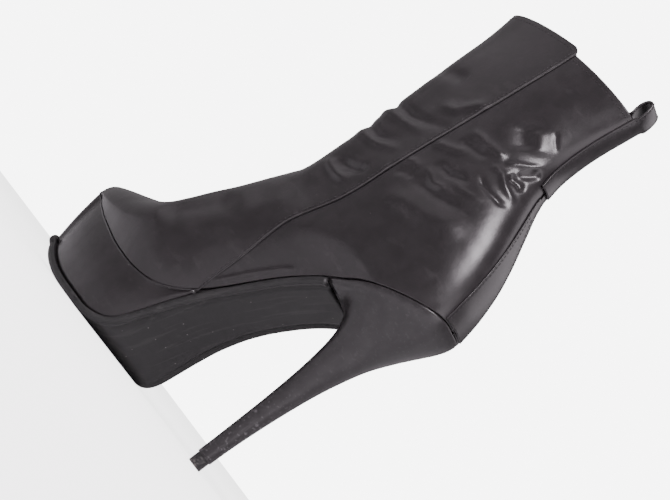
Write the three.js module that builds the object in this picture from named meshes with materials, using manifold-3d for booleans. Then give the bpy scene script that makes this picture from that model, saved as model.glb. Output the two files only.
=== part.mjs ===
// Left ankle boot with a covered platform and a covered stiletto heel.
// Millimetres, +X to the toe, +Y to the wearer's left (the outer side), +Z up.
// The origin lies on the floor, on the flat tread under the ball of the foot.
import * as THREE from 'three';
import { mergeVertices } from 'three/addons/utils/BufferGeometryUtils.js';
import Module from 'manifold-3d';

const wasm = await Module();
wasm.setup();

// Lengths from the back of the heel forward
const LAST_LENGTH = 237;
const SOLE_LENGTH = 228;
const TREAD_CENTRE = 150;
const BREAST_LENGTH = 62;
const BREAST_LAP = 2.5;
const SEAT_WIDEST = 28;
const COLLAR_BACK = 32;

// Widths
const BALL_WIDTH = 82;
const WAIST_WIDTH = 44;
const SEAT_WIDTH = 54;
const ANKLE_WIDTH = 62;
const SHAFT_WIDTH = 39;

// Heights above the floor, and rises above them
const SEAT_HEIGHT = 145;
const BALL_HEIGHT = 37.5;
const TOE_SPRING = 12.9;
const INSTEP_RISE = 97.5;
const BOOT_HEIGHT = 301;
const FRONT_DIP = 4;
const BACK_PANEL_DROP = 4;
const BACK_DIP = 3.5;
const TOP_LINE_POWER = 1.6;

// Shaft, heel stem, strips and pull loop
const SHAFT_DEPTH = 121;
const STEM_WIDTH = 9.2;
const STEM_DEPTH = 9.0;
const HEEL_SET_IN = 35.5;
const TIP_HEIGHT = 6.3;
const TIP_STEP = 0.35;
const STEM_EDGE = 0.4;
const STEM_ROUNDNESS = { rear: 0.95, front: 0.6 };
const STRIP_WIDTH = 12.5;
const STRIP_THICKNESS = 1.4;
const STRIP_START_RISE = 88;
const LOOP_RISE = 14;
const LOOP_TAIL = 11;
const STAY_WIDTH = 24;
const STAY_START_RISE = 1;
const STAY_RISE = 83;
const STAY_THICKNESS = 0.8;

// Thicknesses and clearances
const WALL = 2.2;
const PANEL_STEP = 0.8;
const OUTSOLE = 4.2;
const WELT_LIP = 2.6;
const EDGE_ROUND = 1.5;
const INSOLE = 2.2;
const GAP = 0.3;

// Points around one half of a section of the upper, behind and before the side seam, the share
// of a front column that the panel's step takes, and the least seam angle beside the lower edge's
const BACK_COLUMNS = 6;
const FRONT_COLUMNS = 9;
const STEP_COLUMN_SHARE = 0.08;
const LEAST_SEAM_SHARE = 0.85;

// Underside of the upper along its length: x as a share of LAST_LENGTH,
// arch as a share of the rise from ball to seat, spring as a share of TOE_SPRING
const FEATHER_COLUMNS = ['x', 'arch', 'spring'];
const FEATHER = [
  [-0.060, 1.052, 0.00],
  [0.000, 1.000, 0.00],
  [0.063, 0.942, 0.00],
  [0.127, 0.879, 0.00],
  [0.190, 0.808, 0.00],
  [0.232, 0.755, 0.00],
  [0.262, 0.710, 0.00],
  [0.295, 0.646, 0.00],
  [0.338, 0.548, 0.00],
  [0.380, 0.429, 0.00],
  [0.422, 0.296, 0.00],
  [0.464, 0.170, 0.00],
  [0.498, 0.088, 0.00],
  [0.532, 0.036, 0.00],
  [0.574, 0.008, 0.00],
  [0.616, 0.000, 0.00],
  [0.675, 0.000, 0.03],
  [0.726, 0.000, 0.12],
  [0.776, 0.000, 0.26],
  [0.835, 0.000, 0.43],
  [0.899, 0.000, 0.68],
  [0.954, 0.000, 0.91],
  [1.000, 0.000, 1.11],
  [1.080, 0.000, 1.50],
];

// Rear face of the platform, bottom of the outsole: x as a share of SOLE_LENGTH,
// height as a share of the upper's underside straight above it
const REAR_FACE_COLUMNS = ['x', 'height'];
const REAR_FACE = [
  [0.439, 0.884],
  [0.458, 0.846],
  [0.476, 0.775],
  [0.492, 0.650],
  [0.509, 0.462],
  [0.526, 0.262],
  [0.546, 0.133],
  [0.570, 0.055],
  [0.596, 0.012],
];
const TREAD_START = 0.618;
const TREAD_END = 0.715;

// Rim of the outsole: x as a share of SOLE_LENGTH, half-widths on the outer and
// inner side as shares of the named width, inset of the platform wall as a share of WELT_LIP
const RIM_COLUMNS = ['x', 'width', 'outer', 'inner', 'inset'];
const RIM = [
  [0.246, WAIST_WIDTH, 0.566, 0.532, 0.0],
  [0.329, WAIST_WIDTH, 0.556, 0.458, 0.0],
  [0.395, WAIST_WIDTH, 0.552, 0.443, 0.0],
  [0.461, WAIST_WIDTH, 0.580, 0.530, 0.1],
  [0.492, BALL_WIDTH, 0.345, 0.325, 0.3],
  [0.526, BALL_WIDTH, 0.400, 0.380, 0.6],
  [0.560, BALL_WIDTH, 0.450, 0.422, 0.9],
  [0.596, BALL_WIDTH, 0.478, 0.460, 1.0],
  [0.650, BALL_WIDTH, 0.482, 0.500, 1.0],
  [0.724, BALL_WIDTH, 0.453, 0.495, 1.0],
  [0.789, BALL_WIDTH, 0.412, 0.448, 1.0],
  [0.855, BALL_WIDTH, 0.350, 0.382, 1.0],
  [0.912, BALL_WIDTH, 0.276, 0.308, 1.0],
  [0.950, BALL_WIDTH, 0.212, 0.246, 1.0],
];
const TOE_ARC_START = 0.950;
const TOE_ARC_POWER = 2.4;
const WALL_LEAN = 10.1;
const WALL_BULGE = 0.9;

// Sections of the upper. b is the back or lower end of the section's plane, t the front or
// upper end. x is a share of LAST_LENGTH. A level of 0 is BALL_HEIGHT, 1 is SEAT_HEIGHT for b
// and the instep for t, and 2 is BOOT_HEIGHT. outer and inner are the greatest half-widths, as
// shares of the named width, and crest is the roundness of the front or upper end.
const FOOT_COLUMNS = ['bx', 'blevel', 'tx', 'tlevel', 'width', 'outer', 'inner', 'back', 'crest'];
const FOOT = [
  [0.9990, 0.110, 0.9985, 0.175, BALL_WIDTH, 0.044, 0.050, 0.40, 0.60],
  [0.9940, 0.075, 0.9915, 0.215, BALL_WIDTH, 0.090, 0.104, 0.40, 0.60],
  [0.9750, 0.045, 0.9725, 0.248, BALL_WIDTH, 0.150, 0.172, 0.40, 0.62],
  [0.9420, 0.005, 0.9430, 0.276, BALL_WIDTH, 0.212, 0.246, 0.40, 0.70],
  [0.8870, -0.045, 0.8900, 0.321, BALL_WIDTH, 0.300, 0.338, 0.40, 0.84],
  [0.8190, -0.080, 0.8290, 0.374, BALL_WIDTH, 0.380, 0.420, 0.40, 0.97],
  [0.7470, -0.107, 0.7700, 0.438, BALL_WIDTH, 0.447, 0.490, 0.40, 1.08],
  [0.6750, -0.116, 0.7290, 0.523, BALL_WIDTH, 0.494, 0.526, 0.40, 1.13],
  [0.6080, -0.116, 0.7060, 0.632, BALL_WIDTH, 0.516, 0.527, 0.40, 1.10],
  [0.5440, -0.088, 0.6890, 0.748, BALL_WIDTH, 0.506, 0.496, 0.42, 1.03],
  [0.4810, -0.005, 0.6755, 0.850, BALL_WIDTH, 0.468, 0.456, 0.45, 1.02],
  [0.4220, 0.144, 0.6650, 0.933, BALL_WIDTH, 0.432, 0.424, 0.50, 0.98],
  [0.3540, 0.330, 0.6565, 0.995, ANKLE_WIDTH, 0.538, 0.532, 0.55, 0.95],
  [0.2740, 0.488, 0.6490, 1.025, ANKLE_WIDTH, 0.520, 0.514, 0.60, 0.93],
  [0.1820, 0.582, 0.6425, 1.050, ANKLE_WIDTH, 0.511, 0.506, 0.62, 0.91],
  [0.0840, 0.656, 0.6340, 1.076, ANKLE_WIDTH, 0.506, 0.503, 0.62, 0.89],
  [0.0150, 0.805, 0.6290, 1.111, ANKLE_WIDTH, 0.502, 0.500, 0.62, 0.87],
  [-0.0010, 0.963, 0.6235, 1.155, ANKLE_WIDTH, 0.500, 0.498, 0.62, 0.86],
];

// Sections above the heel seat: depth is a share of SHAFT_DEPTH, back is the roundness of the
// rear end, and the other columns are as above
const SHAFT_COLUMNS = ['bx', 'blevel', 'depth', 'tlevel', 'width', 'half', 'back', 'crest'];
const SHAFT = [
  [0.0100, 1.077, 1.194, 1.208, ANKLE_WIDTH, 0.497, 0.62, 0.85],
  [0.0280, 1.174, 1.152, 1.275, ANKLE_WIDTH, 0.488, 0.64, 0.85],
  [0.0600, 1.290, 1.087, 1.358, ANKLE_WIDTH, 0.466, 0.68, 0.85],
  [0.1050, 1.413, 0.999, 1.458, ANKLE_WIDTH, 0.436, 0.74, 0.85],
  [0.1440, 1.520, 0.926, 1.555, ANKLE_WIDTH, 0.410, 0.80, 0.85],
  [0.1620, 1.617, 0.897, 1.645, SHAFT_WIDTH, 0.618, 0.84, 0.85],
  [0.1650, 1.720, 0.900, 1.740, SHAFT_WIDTH, 0.586, 0.86, 0.85],
  [0.1580, 1.823, 0.924, 1.836, SHAFT_WIDTH, 0.550, 0.87, 0.85],
  [0.1450, 1.926, 0.964, 1.932, SHAFT_WIDTH, 0.516, 0.88, 0.85],
  [0.1350, 2.010, 0.998, 2.010, SHAFT_WIDTH, 0.498, 0.88, 0.85],
  [0.1300, 2.080, 1.020, 2.080, SHAFT_WIDTH, 0.490, 0.88, 0.85],
];

// Side seam between back panel and front panel: level as for b above, x as a share of LAST_LENGTH
const SEAM_COLUMNS = ['level', 'x'];
const SEAM = [
  [-0.20, 0.462],
  [0.18, 0.458],
  [0.48, 0.444],
  [0.70, 0.442],
  [0.86, 0.428],
  [1.01, 0.407],
  [1.11, 0.396],
  [1.30, 0.389],
  [1.50, 0.381],
  [1.74, 0.371],
  [2.00, 0.363],
  [2.20, 0.358],
];

// Heel, from the tip up to its seat. Each row is a tilted section: the rear end's x is a share of
// HEEL_SET_IN, the front end's x is counted from there as a share of the length that it has left
// to the breast, heights are shares of SEAT_HEIGHT, half is the half-width between the stem's
// and the seat's, and seat is how far the section has taken the seat's outline
const HEEL_COLUMNS = ['rear', 'rearHeight', 'front', 'frontHeight', 'half', 'seat'];
const HEEL = [
  [0.866, 0.0455, 0.000, 0.0455, 0.000, 0.0],
  [0.858, 0.120, -0.005, 0.120, 0.010, 0.0],
  [0.832, 0.220, -0.006, 0.220, 0.035, 0.0],
  [0.782, 0.345, -0.002, 0.345, 0.075, 0.0],
  [0.706, 0.480, 0.022, 0.474, 0.135, 0.0],
  [0.615, 0.590, 0.065, 0.576, 0.220, 0.0],
  [0.500, 0.690, 0.140, 0.660, 0.325, 0.0],
  [0.350, 0.775, 0.275, 0.718, 0.460, 0.08],
  [0.215, 0.840, 0.455, 0.749, 0.575, 0.25],
  [0.118, 0.893, 0.660, 0.7655, 0.725, 0.50],
  [0.052, 0.940, 0.845, 0.7745, 0.885, 0.78],
  [0.016, 0.985, 0.965, 0.7800, 0.980, 0.96],
  [0.010, 1.060, 1.000, 0.8300, 1.000, 1.0],
];
const HEEL_HALF_POINTS = 9;

// Pull loop above the back strip: run forward of the shaft's back edge and rise above the
// top line, as shares of LOOP_RISE
const LOOP_COLUMNS = ['run', 'rise'];
const LOOP = [
  [-0.03, 0.18],
  [-0.02, 0.48],
  [0.05, 0.76],
  [0.17, 0.95],
  [0.30, 0.95],
  [0.42, 0.78],
  [0.46, 0.50],
  [0.44, 0.20],
];

// Half-width of the back stay against its height, as shares of STAY_WIDTH and STAY_RISE
const STAY_COLUMNS = ['rise', 'half'];
const STAY = [
  [0.00, 0.50],
  [0.17, 0.470],
  [0.35, 0.405],
  [0.50, 0.330],
  [0.65, 0.235],
  [0.80, 0.145],
  [0.92, 0.070],
  [1.00, 0.030],
];

const named = (columns, rows) => rows.map((row) => (
  Object.fromEntries(columns.map((name, i) => [name, row[i]]))
));
const column = (rows, name) => rows.map((row) => row[name]);
const mix = (a, b, share) => a + (b - a) * share;
const SLOPE_STEP = LAST_LENGTH / 900;
const slopeOf = (height, x) => (
  (height(x + SLOPE_STEP) - height(x - SLOPE_STEP)) / (2 * SLOPE_STEP)
);
const clamp = (value, low, high) => Math.min(high, Math.max(low, value));

// Curve through points with rising x that never overshoots them
function curve(xs, ys) {
  const n = xs.length;
  const slopes = [];
  for (let i = 0; i < n - 1; i += 1) {
    slopes.push((ys[i + 1] - ys[i]) / (xs[i + 1] - xs[i]));
  }
  const tangents = xs.map((_, i) => {
    if (i === 0) return slopes[0];
    if (i === n - 1) return slopes[n - 2];
    const a = slopes[i - 1];
    const b = slopes[i];
    return a * b <= 0 ? 0 : (2 * a * b) / (a + b);
  });
  return (x) => {
    let i = 0;
    while (i < n - 2 && x > xs[i + 1]) i += 1;
    const step = xs[i + 1] - xs[i];
    const t = clamp((x - xs[i]) / step, 0, 1);
    const t2 = t * t;
    const t3 = t2 * t;
    return (2 * t3 - 3 * t2 + 1) * ys[i] + (t3 - 2 * t2 + t) * step * tangents[i]
      + (3 * t2 - 2 * t3) * ys[i + 1] + (t3 - t2) * step * tangents[i + 1];
  };
}

// Smooth curve through a table's rows, counted from 0
function rowSpline(values) {
  const n = values.length;
  const at = (i) => values[clamp(i, 0, n - 1)];
  return (s) => {
    const i = clamp(Math.floor(s), 0, n - 2);
    const t = s - i;
    const [a, b, c, d] = [at(i - 1), at(i), at(i + 1), at(i + 2)];
    return b + 0.5 * t * (c - a + t * (2 * a - 5 * b + 4 * c - d + t * (3 * (b - c) + d - a)));
  };
}

// The skin between rings of equal length, each quad cut along its shorter diagonal
function ringFaces(rings) {
  const count = rings[0].length;
  const points = rings.flat();
  const faces = [];
  for (let i = 0; i < rings.length - 1; i += 1) {
    for (let j = 0; j < count; j += 1) {
      const k = (j + 1) % count;
      const [a, b] = [i * count + j, i * count + k];
      const [c, d] = [a + count, b + count];
      const rising = points[a].distanceTo(points[d]) <= points[b].distanceTo(points[c]);
      faces.push(...(rising ? [[a, b, d], [a, d, c]] : [[a, b, c], [b, d, c]]));
    }
  }
  return faces;
}

// A closed solid from rings of equal length, each end closed by a fan about its middle
function loft(rings) {
  const count = rings[0].length;
  const middle = (ring) => ring
    .reduce((sum, p) => sum.add(p), new THREE.Vector3())
    .divideScalar(count);
  const points = [...rings.flat(), middle(rings[0]), middle(rings[rings.length - 1])];
  const first = points.length - 2;
  const last = points.length - 1;
  const top = (rings.length - 1) * count;
  const faces = ringFaces(rings);
  for (let j = 0; j < count; j += 1) {
    const k = (j + 1) % count;
    faces.push([first, k, j], [last, top + j, top + k]);
  }
  return solid(points, faces);
}

// A closed solid from points and triangles, turned inside out where its volume is negative
function solid(points, faces) {
  let volume = 0;
  const cross = new THREE.Vector3();
  for (const [a, b, c] of faces) {
    volume += cross.crossVectors(points[a], points[b]).dot(points[c]);
  }
  const outward = volume < 0 ? faces.map(([a, b, c]) => [a, c, b]) : faces;
  return new wasm.Manifold(new wasm.Mesh({
    numProp: 3,
    vertProperties: new Float32Array(points.flatMap((p) => [p.x, p.y, p.z])),
    triVerts: new Uint32Array(outward.flat()),
  }));
}

// An outline in side view, x and z, drawn out to both sides
function sideExtrusion(outline, reach) {
  const shape = new THREE.Shape(outline.map(([x, z]) => new THREE.Vector2(x, z)));
  const geometry = new THREE.ExtrudeGeometry(shape, { depth: 2 * reach, bevelEnabled: false });
  geometry.deleteAttribute('normal');
  geometry.deleteAttribute('uv');
  geometry.rotateX(Math.PI / 2);
  geometry.translate(0, reach, 0);
  const merged = mergeVertices(geometry);
  const at = merged.getAttribute('position');
  const points = Array.from({ length: at.count }, (_, i) => new THREE.Vector3().fromBufferAttribute(at, i));
  const index = Array.from(merged.getIndex().array);
  const faces = [];
  for (let i = 0; i < index.length; i += 3) {
    faces.push(index.slice(i, i + 3));
  }
  return solid(points, faces);
}

// Underside of the upper, seen from the side
const featherRows = named(FEATHER_COLUMNS, FEATHER);
const feather = curve(
  column(featherRows, 'x').map((x) => x * LAST_LENGTH),
  featherRows.map((row) => (
    BALL_HEIGHT + row.arch * (SEAT_HEIGHT - BALL_HEIGHT) + row.spring * TOE_SPRING
  )),
);

// Bottom of the outsole, seen from the side: held under the waist, down the platform's rear
// face, flat at the tread and up to the toe
const rearFace = named(REAR_FACE_COLUMNS, REAR_FACE);
function waistPoint(x) {
  const rise = slopeOf(feather, x);
  const below = OUTSOLE + GAP;
  const slant = Math.hypot(rise, 1);
  return [x + (below * rise) / slant, feather(x) - below / slant];
}
const REAR_FACE_TOP = REAR_FACE[0][0] * SOLE_LENGTH;
const waistKnots = Array.from({ length: 13 }, (_, i) => mix(-0.15, 0.93, i / 12))
  .map((share) => waistPoint(mix(BREAST_LENGTH, REAR_FACE_TOP, share)));
const springKnots = [0.2, 0.4, 0.6, 0.8, 1, 1.2].map((share) => [
  mix(TREAD_END, 1, share) * SOLE_LENGTH,
  TOE_SPRING * share ** 2,
]);
const soleKnots = [
  ...waistKnots,
  ...rearFace.map((row) => [row.x * SOLE_LENGTH, row.height * feather(row.x * SOLE_LENGTH)]),
  [TREAD_START * SOLE_LENGTH, 0],
  [TREAD_END * SOLE_LENGTH, 0],
  ...springKnots,
];
const soleBottom = curve(soleKnots.map(([x]) => x), soleKnots.map(([, z]) => z));
function soleNormal(x) {
  const rise = slopeOf(soleBottom, x);
  const length = Math.hypot(rise, 1);
  return [-rise / length, 1 / length];
}

// Plan of the outsole's rim. side is 1 on the outer side and -1 on the inner one.
const rimRows = named(RIM_COLUMNS, RIM);
const rimCurves = {
  1: curve(column(rimRows, 'x'), rimRows.map((row) => row.outer * row.width)),
  [-1]: curve(column(rimRows, 'x'), rimRows.map((row) => row.inner * row.width)),
};
const insetCurve = curve(column(rimRows, 'x'), rimRows.map((row) => row.inset * WELT_LIP));
function rimHalf(x, side) {
  const share = x / SOLE_LENGTH;
  if (share <= TOE_ARC_START) return rimCurves[side](share);
  const t = clamp((share - TOE_ARC_START) / (1 - TOE_ARC_START), 0, 1);
  return rimCurves[side](TOE_ARC_START) * (1 - t ** TOE_ARC_POWER) ** (1 / TOE_ARC_POWER);
}
const OUTSOLE_START = BREAST_LENGTH - BREAST_LAP;
const toeArcShares = [0, 0.25, 0.48, 0.67, 0.82, 0.92, 0.98];
function rimStations(from) {
  const arcStart = TOE_ARC_START * SOLE_LENGTH;
  const rear = [0, 0.14, 0.27, 0.38, 0.48, 0.57, 0.65, 0.71, 0.76, 0.81, 0.86, 0.91, 0.95, 1]
    .map((share) => mix(OUTSOLE_START, TREAD_START * SOLE_LENGTH, share));
  const tread = [0.5, 1].map((share) => mix(TREAD_START, TREAD_END, share) * SOLE_LENGTH);
  const toe = [0.17, 0.34, 0.5, 0.65, 0.8, 0.91]
    .map((share) => mix(TREAD_END, TOE_ARC_START, share) * SOLE_LENGTH);
  const arc = toeArcShares.map((share) => mix(arcStart, SOLE_LENGTH, share));
  return [...rear, ...tread, ...toe, ...arc].filter((x) => x >= from);
}

// The rim as a closed run of plan points, outer side forward and inner side back, with each
// point moved inward by inset
function rimPlan(stations, inset) {
  const outer = stations.map((x) => new THREE.Vector2(x, rimHalf(x, 1)));
  const inner = stations.map((x) => new THREE.Vector2(x, -rimHalf(x, -1)));
  const run = [...outer, new THREE.Vector2(SOLE_LENGTH, 0), ...inner.reverse()];
  return run.map((point, i) => {
    const before = run[Math.max(i - 1, 0)];
    const after = run[Math.min(i + 1, run.length - 1)];
    const along = after.clone().sub(before).normalize();
    const move = inset(point.x);
    return new THREE.Vector2(point.x + along.y * move, point.y - along.x * move);
  });
}

// Foot of the upper in plan: the platform wall's foot, drawn forward to its leaning top
const wallFootPlan = rimPlan(rimStations(OUTSOLE_START), insetCurveAt);
function insetCurveAt(x) {
  return insetCurve(x / SOLE_LENGTH);
}
const wallFootTip = Math.max(...wallFootPlan.map((p) => p.x));
function leanForward(x) {
  const start = TREAD_CENTRE;
  const share = Math.max(0, (x - start) / (wallFootTip - start));
  return x + WALL_LEAN * share;
}
const wallTopPlan = wallFootPlan.map((p) => new THREE.Vector2(leanForward(p.x), p.y));
const wallTopCurves = {
  1: topCurve(1),
  [-1]: topCurve(-1),
};
function topCurve(side) {
  const points = wallTopPlan
    .filter((p) => side * p.y > 0)
    .sort((a, b) => a.x - b.x);
  return curve(points.map((p) => p.x), points.map((p) => side * p.y));
}

// Half-width of the upper's lower edge at x
function featherHalf(x, side) {
  if (x < SEAT_WIDEST) {
    const t = clamp((SEAT_WIDEST - x) / SEAT_WIDEST, 0, 1);
    return (SEAT_WIDTH / 2) * Math.sqrt(1 - t * t);
  }
  if (x < BREAST_LENGTH) {
    const t = (x - SEAT_WIDEST) / (BREAST_LENGTH - SEAT_WIDEST);
    return mix(SEAT_WIDTH / 2, rimCurves[side](BREAST_LENGTH / SOLE_LENGTH), t * t * (3 - 2 * t));
  }
  return wallTopCurves[side](x);
}

// Heights of the levels that the section tables use
function backLevel(level) {
  if (level > 1) return mix(SEAT_HEIGHT, BOOT_HEIGHT, level - 1);
  return mix(BALL_HEIGHT, SEAT_HEIGHT, level);
}
function frontLevel(level) {
  const instep = BALL_HEIGHT + INSTEP_RISE;
  if (level > 1) return mix(instep, BOOT_HEIGHT, level - 1);
  return mix(BALL_HEIGHT, instep, level);
}

// The last: each section has its two ends, half-widths and the roundness of both ends
const lastRows = [
  ...named(FOOT_COLUMNS, FOOT).map((row) => ({
    b: [row.bx * LAST_LENGTH, backLevel(row.blevel)],
    t: [row.tx * LAST_LENGTH, frontLevel(row.tlevel)],
    half: { 1: row.outer * row.width, [-1]: row.inner * row.width },
    back: row.back,
    crest: row.crest,
  })),
  ...named(SHAFT_COLUMNS, SHAFT).map((row) => ({
    b: [row.bx * LAST_LENGTH, backLevel(row.blevel)],
    t: [row.bx * LAST_LENGTH + row.depth * SHAFT_DEPTH, frontLevel(row.tlevel)],
    half: { 1: row.half * row.width, [-1]: row.half * row.width },
    back: row.back,
    crest: row.crest,
  })),
];
const lastSplines = {
  bx: rowSpline(lastRows.map((row) => row.b[0])),
  bz: rowSpline(lastRows.map((row) => row.b[1])),
  tx: rowSpline(lastRows.map((row) => row.t[0])),
  tz: rowSpline(lastRows.map((row) => row.t[1])),
  outer: rowSpline(lastRows.map((row) => row.half[1])),
  inner: rowSpline(lastRows.map((row) => row.half[-1])),
  back: rowSpline(column(lastRows, 'back')),
  crest: rowSpline(column(lastRows, 'crest')),
};
const seamRows = named(SEAM_COLUMNS, SEAM);
const seamAt = curve(
  column(seamRows, 'level').map(backLevel),
  column(seamRows, 'x').map((x) => x * LAST_LENGTH),
);

// Share of the way from b to t at which test first turns positive
function crossing(test) {
  const steps = 60;
  for (let i = 1; i <= steps; i += 1) {
    if (test(i / steps) > 0) {
      let low = (i - 1) / steps;
      let high = i / steps;
      for (let n = 0; n < 24; n += 1) {
        const middle = (low + high) / 2;
        if (test(middle) > 0) high = middle;
        else low = middle;
      }
      return high;
    }
  }
  return 1;
}
const angleAt = (share) => Math.acos(1 - 2 * share);

// One section of the last, s rows along. It is trimmed at the feather line later, and drawn in
// toward that line by the share, waist, that gives the lower edge its half-width there.
const TOE_ROWS = 1;
const LEAST_CUT_SHARE = 0.02;
function section(s) {
  const b = new THREE.Vector3(lastSplines.bx(s), 0, lastSplines.bz(s));
  const t = new THREE.Vector3(lastSplines.tx(s), 0, lastSplines.tz(s));
  const half = { 1: lastSplines.outer(s), [-1]: lastSplines.inner(s) };
  const back = lastSplines.back(s);
  const at = (u) => b.clone().lerp(t, u);
  const underside = (u) => at(u).z - feather(at(u).x);
  const waist = { 1: 0, [-1]: 0 };
  let cut = 0;
  if (underside(0) < 0) {
    cut = crossing(underside);
    const reach = Math.sin(angleAt(cut)) ** back;
    for (const side of [1, -1]) {
      const wanted = featherHalf(at(cut).x, side) / (half[side] * reach);
      waist[side] = (1 - wanted) * clamp((s - TOE_ROWS) / 2, 0, 1);
    }
  }
  const overSeam = (u) => at(u).x - seamAt(at(u).z);
  const seam = overSeam(0) < 0 ? crossing(overSeam) : 0;
  return {
    b, t, half, back, waist, cut,
    crest: lastSplines.crest(s),
    seam: Math.max(angleAt(seam), LEAST_SEAM_SHARE * angleAt(Math.max(cut, LEAST_CUT_SHARE))),
  };
}

// A point of the last's skin: angle runs from 0 at b to PI at t on the given side
function skinPoint(cut, angle, side) {
  const exponent = angle < Math.PI / 2 ? cut.back : cut.crest;
  const share = (1 - Math.cos(angle)) / 2;
  const above = clamp((share - cut.cut) / (0.5 - cut.cut), 0, 1);
  const drawnIn = cut.waist[side] * Math.cos((Math.PI / 2) * above) ** 2;
  const wide = cut.half[side] * (1 - drawnIn) * Math.max(Math.sin(angle), 0) ** exponent;
  const point = cut.b.clone().lerp(cut.t, share);
  point.y = side * wide;
  return point;
}

const STATIONS = [
  0, 0.5, 1, 1.5, 2, 2.5, 3, 3.6, 4.2, 5, 5.8, 6.6, 7.4, 8.2, 9, 9.7, 10.4, 11.1, 11.8, 12.5,
  13.2, 14, 14.8, 15.5, 16.2, 16.8, 17.5, 18.2, 19, 20, 21, 22, 22.8, 23.7, 24.7, 25.8, 27, 28,
];

// Rings of the last's skin, moved outward along its normals by offset. A stepped skin lies
// lower behind the side seam.
function skinRings(offset, stepped, from) {
  const cuts = STATIONS.filter((s) => s >= from).map(section);
  const angles = (cut) => [
    ...Array.from({ length: BACK_COLUMNS }, (_, i) => (cut.seam * i) / (BACK_COLUMNS - 1)),
    ...Array.from({ length: FRONT_COLUMNS }, (_, i) => (
      mix(cut.seam, Math.PI, (i + STEP_COLUMN_SHARE) / (FRONT_COLUMNS - 1 + STEP_COLUMN_SHARE))
    )),
  ];
  const base = cuts.map((cut) => {
    const list = angles(cut);
    const near = list.map((angle) => skinPoint(cut, angle, 1));
    const far = list.slice(1, -1).reverse().map((angle) => skinPoint(cut, angle, -1));
    return [...near, ...far];
  });
  const count = base[0].length;
  const halfCount = BACK_COLUMNS + FRONT_COLUMNS;
  const behindSeam = (j) => Math.min(j, count - j) < BACK_COLUMNS;
  return base.map((ring, i) => ring.map((point, j) => {
    const before = base[Math.max(i - 1, 0)][j];
    const after = base[Math.min(i + 1, base.length - 1)][j];
    const wide = j % (halfCount - 1) === 0 ? 1 : 2;
    const left = ring[(j + count - wide) % count];
    const right = ring[(j + wide) % count];
    const normal = after.clone().sub(before).cross(right.clone().sub(left)).normalize();
    const step = stepped && behindSeam(j) ? PANEL_STEP : 0;
    return point.clone().addScaledVector(normal, offset - step);
  }));
}

// Solid under the feather line, and solid over the top line
const REACH = 1.5 * BALL_WIDTH;
const sideSteps = Array.from({ length: 61 }, (_, i) => mix(-0.055, 1.06, i / 60) * LAST_LENGTH);
function underFeather() {
  const line = sideSteps.map((x) => [x, feather(x)]);
  const low = -REACH;
  return sideExtrusion([[line[0][0], low], ...line, [line[line.length - 1][0], low]].reverse(), REACH);
}
const BACK_TOP = BOOT_HEIGHT - BACK_PANEL_DROP;
function topLine(x) {
  const corner = seamAt(BOOT_HEIGHT);
  if (x < corner) {
    const share = clamp((corner - x) / (corner - COLLAR_BACK), 0, 1.3);
    return BACK_TOP - BACK_DIP * share ** TOP_LINE_POWER;
  }
  const share = (x - corner) / (COLLAR_BACK + SHAFT_DEPTH - corner);
  return BOOT_HEIGHT - FRONT_DIP * share ** TOP_LINE_POWER;
}
function overTopLine() {
  const corner = seamAt(BOOT_HEIGHT);
  const start = COLLAR_BACK - 0.3 * SHAFT_DEPTH;
  const end = COLLAR_BACK + 1.2 * SHAFT_DEPTH;
  const behind = [0, 0.2, 0.4, 0.6, 0.8, 0.999].map((share) => mix(start, corner - 0.01, share));
  const ahead = [0, 0.2, 0.4, 0.6, 0.8, 1].map((share) => mix(corner, end, share));
  const high = BOOT_HEIGHT + REACH;
  return sideExtrusion([
    ...[...behind, ...ahead].map((x) => [x, topLine(x)]),
    [end, high],
    [start, high],
  ], REACH);
}

// Hollow upper: the stepped skin less the cavity, open at the collar and underneath
function upper() {
  const outside = loft(skinRings(0, true, 0));
  const cavityRings = skinRings(-WALL, false, 2);
  for (const point of cavityRings[cavityRings.length - 1]) point.z += WALL / 2;
  return outside
    .subtract(loft(cavityRings))
    .subtract(underFeather())
    .subtract(overTopLine());
}

// Board inside the upper, filling its opening underneath
function insole() {
  const line = sideSteps.map((x) => [x, feather(x)]);
  const top = sideSteps.map((x) => [x, feather(x) + INSOLE]).reverse();
  return sideExtrusion([...line, ...top].reverse(), REACH)
    .intersect(loft(skinRings(-WALL - GAP, false, 2)));
}

// A sheet that lies on the sole's bottom curve: rings of the rim's plan at rising heights
function soleLayer(stations, levels) {
  return levels.map(({ height, inset, lift }) => rimPlan(stations, inset).map((p, i) => {
    const [nx, nz] = soleNormal(p.x);
    const point = new THREE.Vector3(p.x + nx * height, p.y, soleBottom(p.x) + nz * height);
    return lift ? lift(point, i) : point;
  }));
}

// Rings of plan runs closed by strips from side to side, below and above
function stack(rings) {
  const count = rings[0].length;
  const points = rings.flat();
  const faces = [];
  for (let i = 0; i < rings.length - 1; i += 1) {
    for (let j = 0; j < count; j += 1) {
      const k = (j + 1) % count;
      const [a, b] = [i * count + j, i * count + k];
      faces.push([a, b, b + count], [a, b + count, a + count]);
    }
  }
  const tip = (count - 1) / 2;
  const high = (rings.length - 1) * count;
  for (let j = 0; j < tip; j += 1) {
    const far = count - 1 - j;
    const strip = j === tip - 1 ? [[j, j + 1, far]] : [[j, j + 1, far - 1], [j, far - 1, far]];
    for (const [a, b, c] of strip) {
      faces.push([a, c, b], [high + a, high + b, high + c]);
    }
  }
  return solid(points, faces);
}

function outsole() {
  const stations = rimStations(OUTSOLE_START);
  const level = (height, inset) => ({ height: height * OUTSOLE, inset: () => inset * EDGE_ROUND });
  return stack(soleLayer(stations, [
    level(0, 1),
    level(0.12, 0.35),
    level(0.45, 0),
    level(0.8, 0.15),
    level(1, 0.6),
  ]));
}

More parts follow.
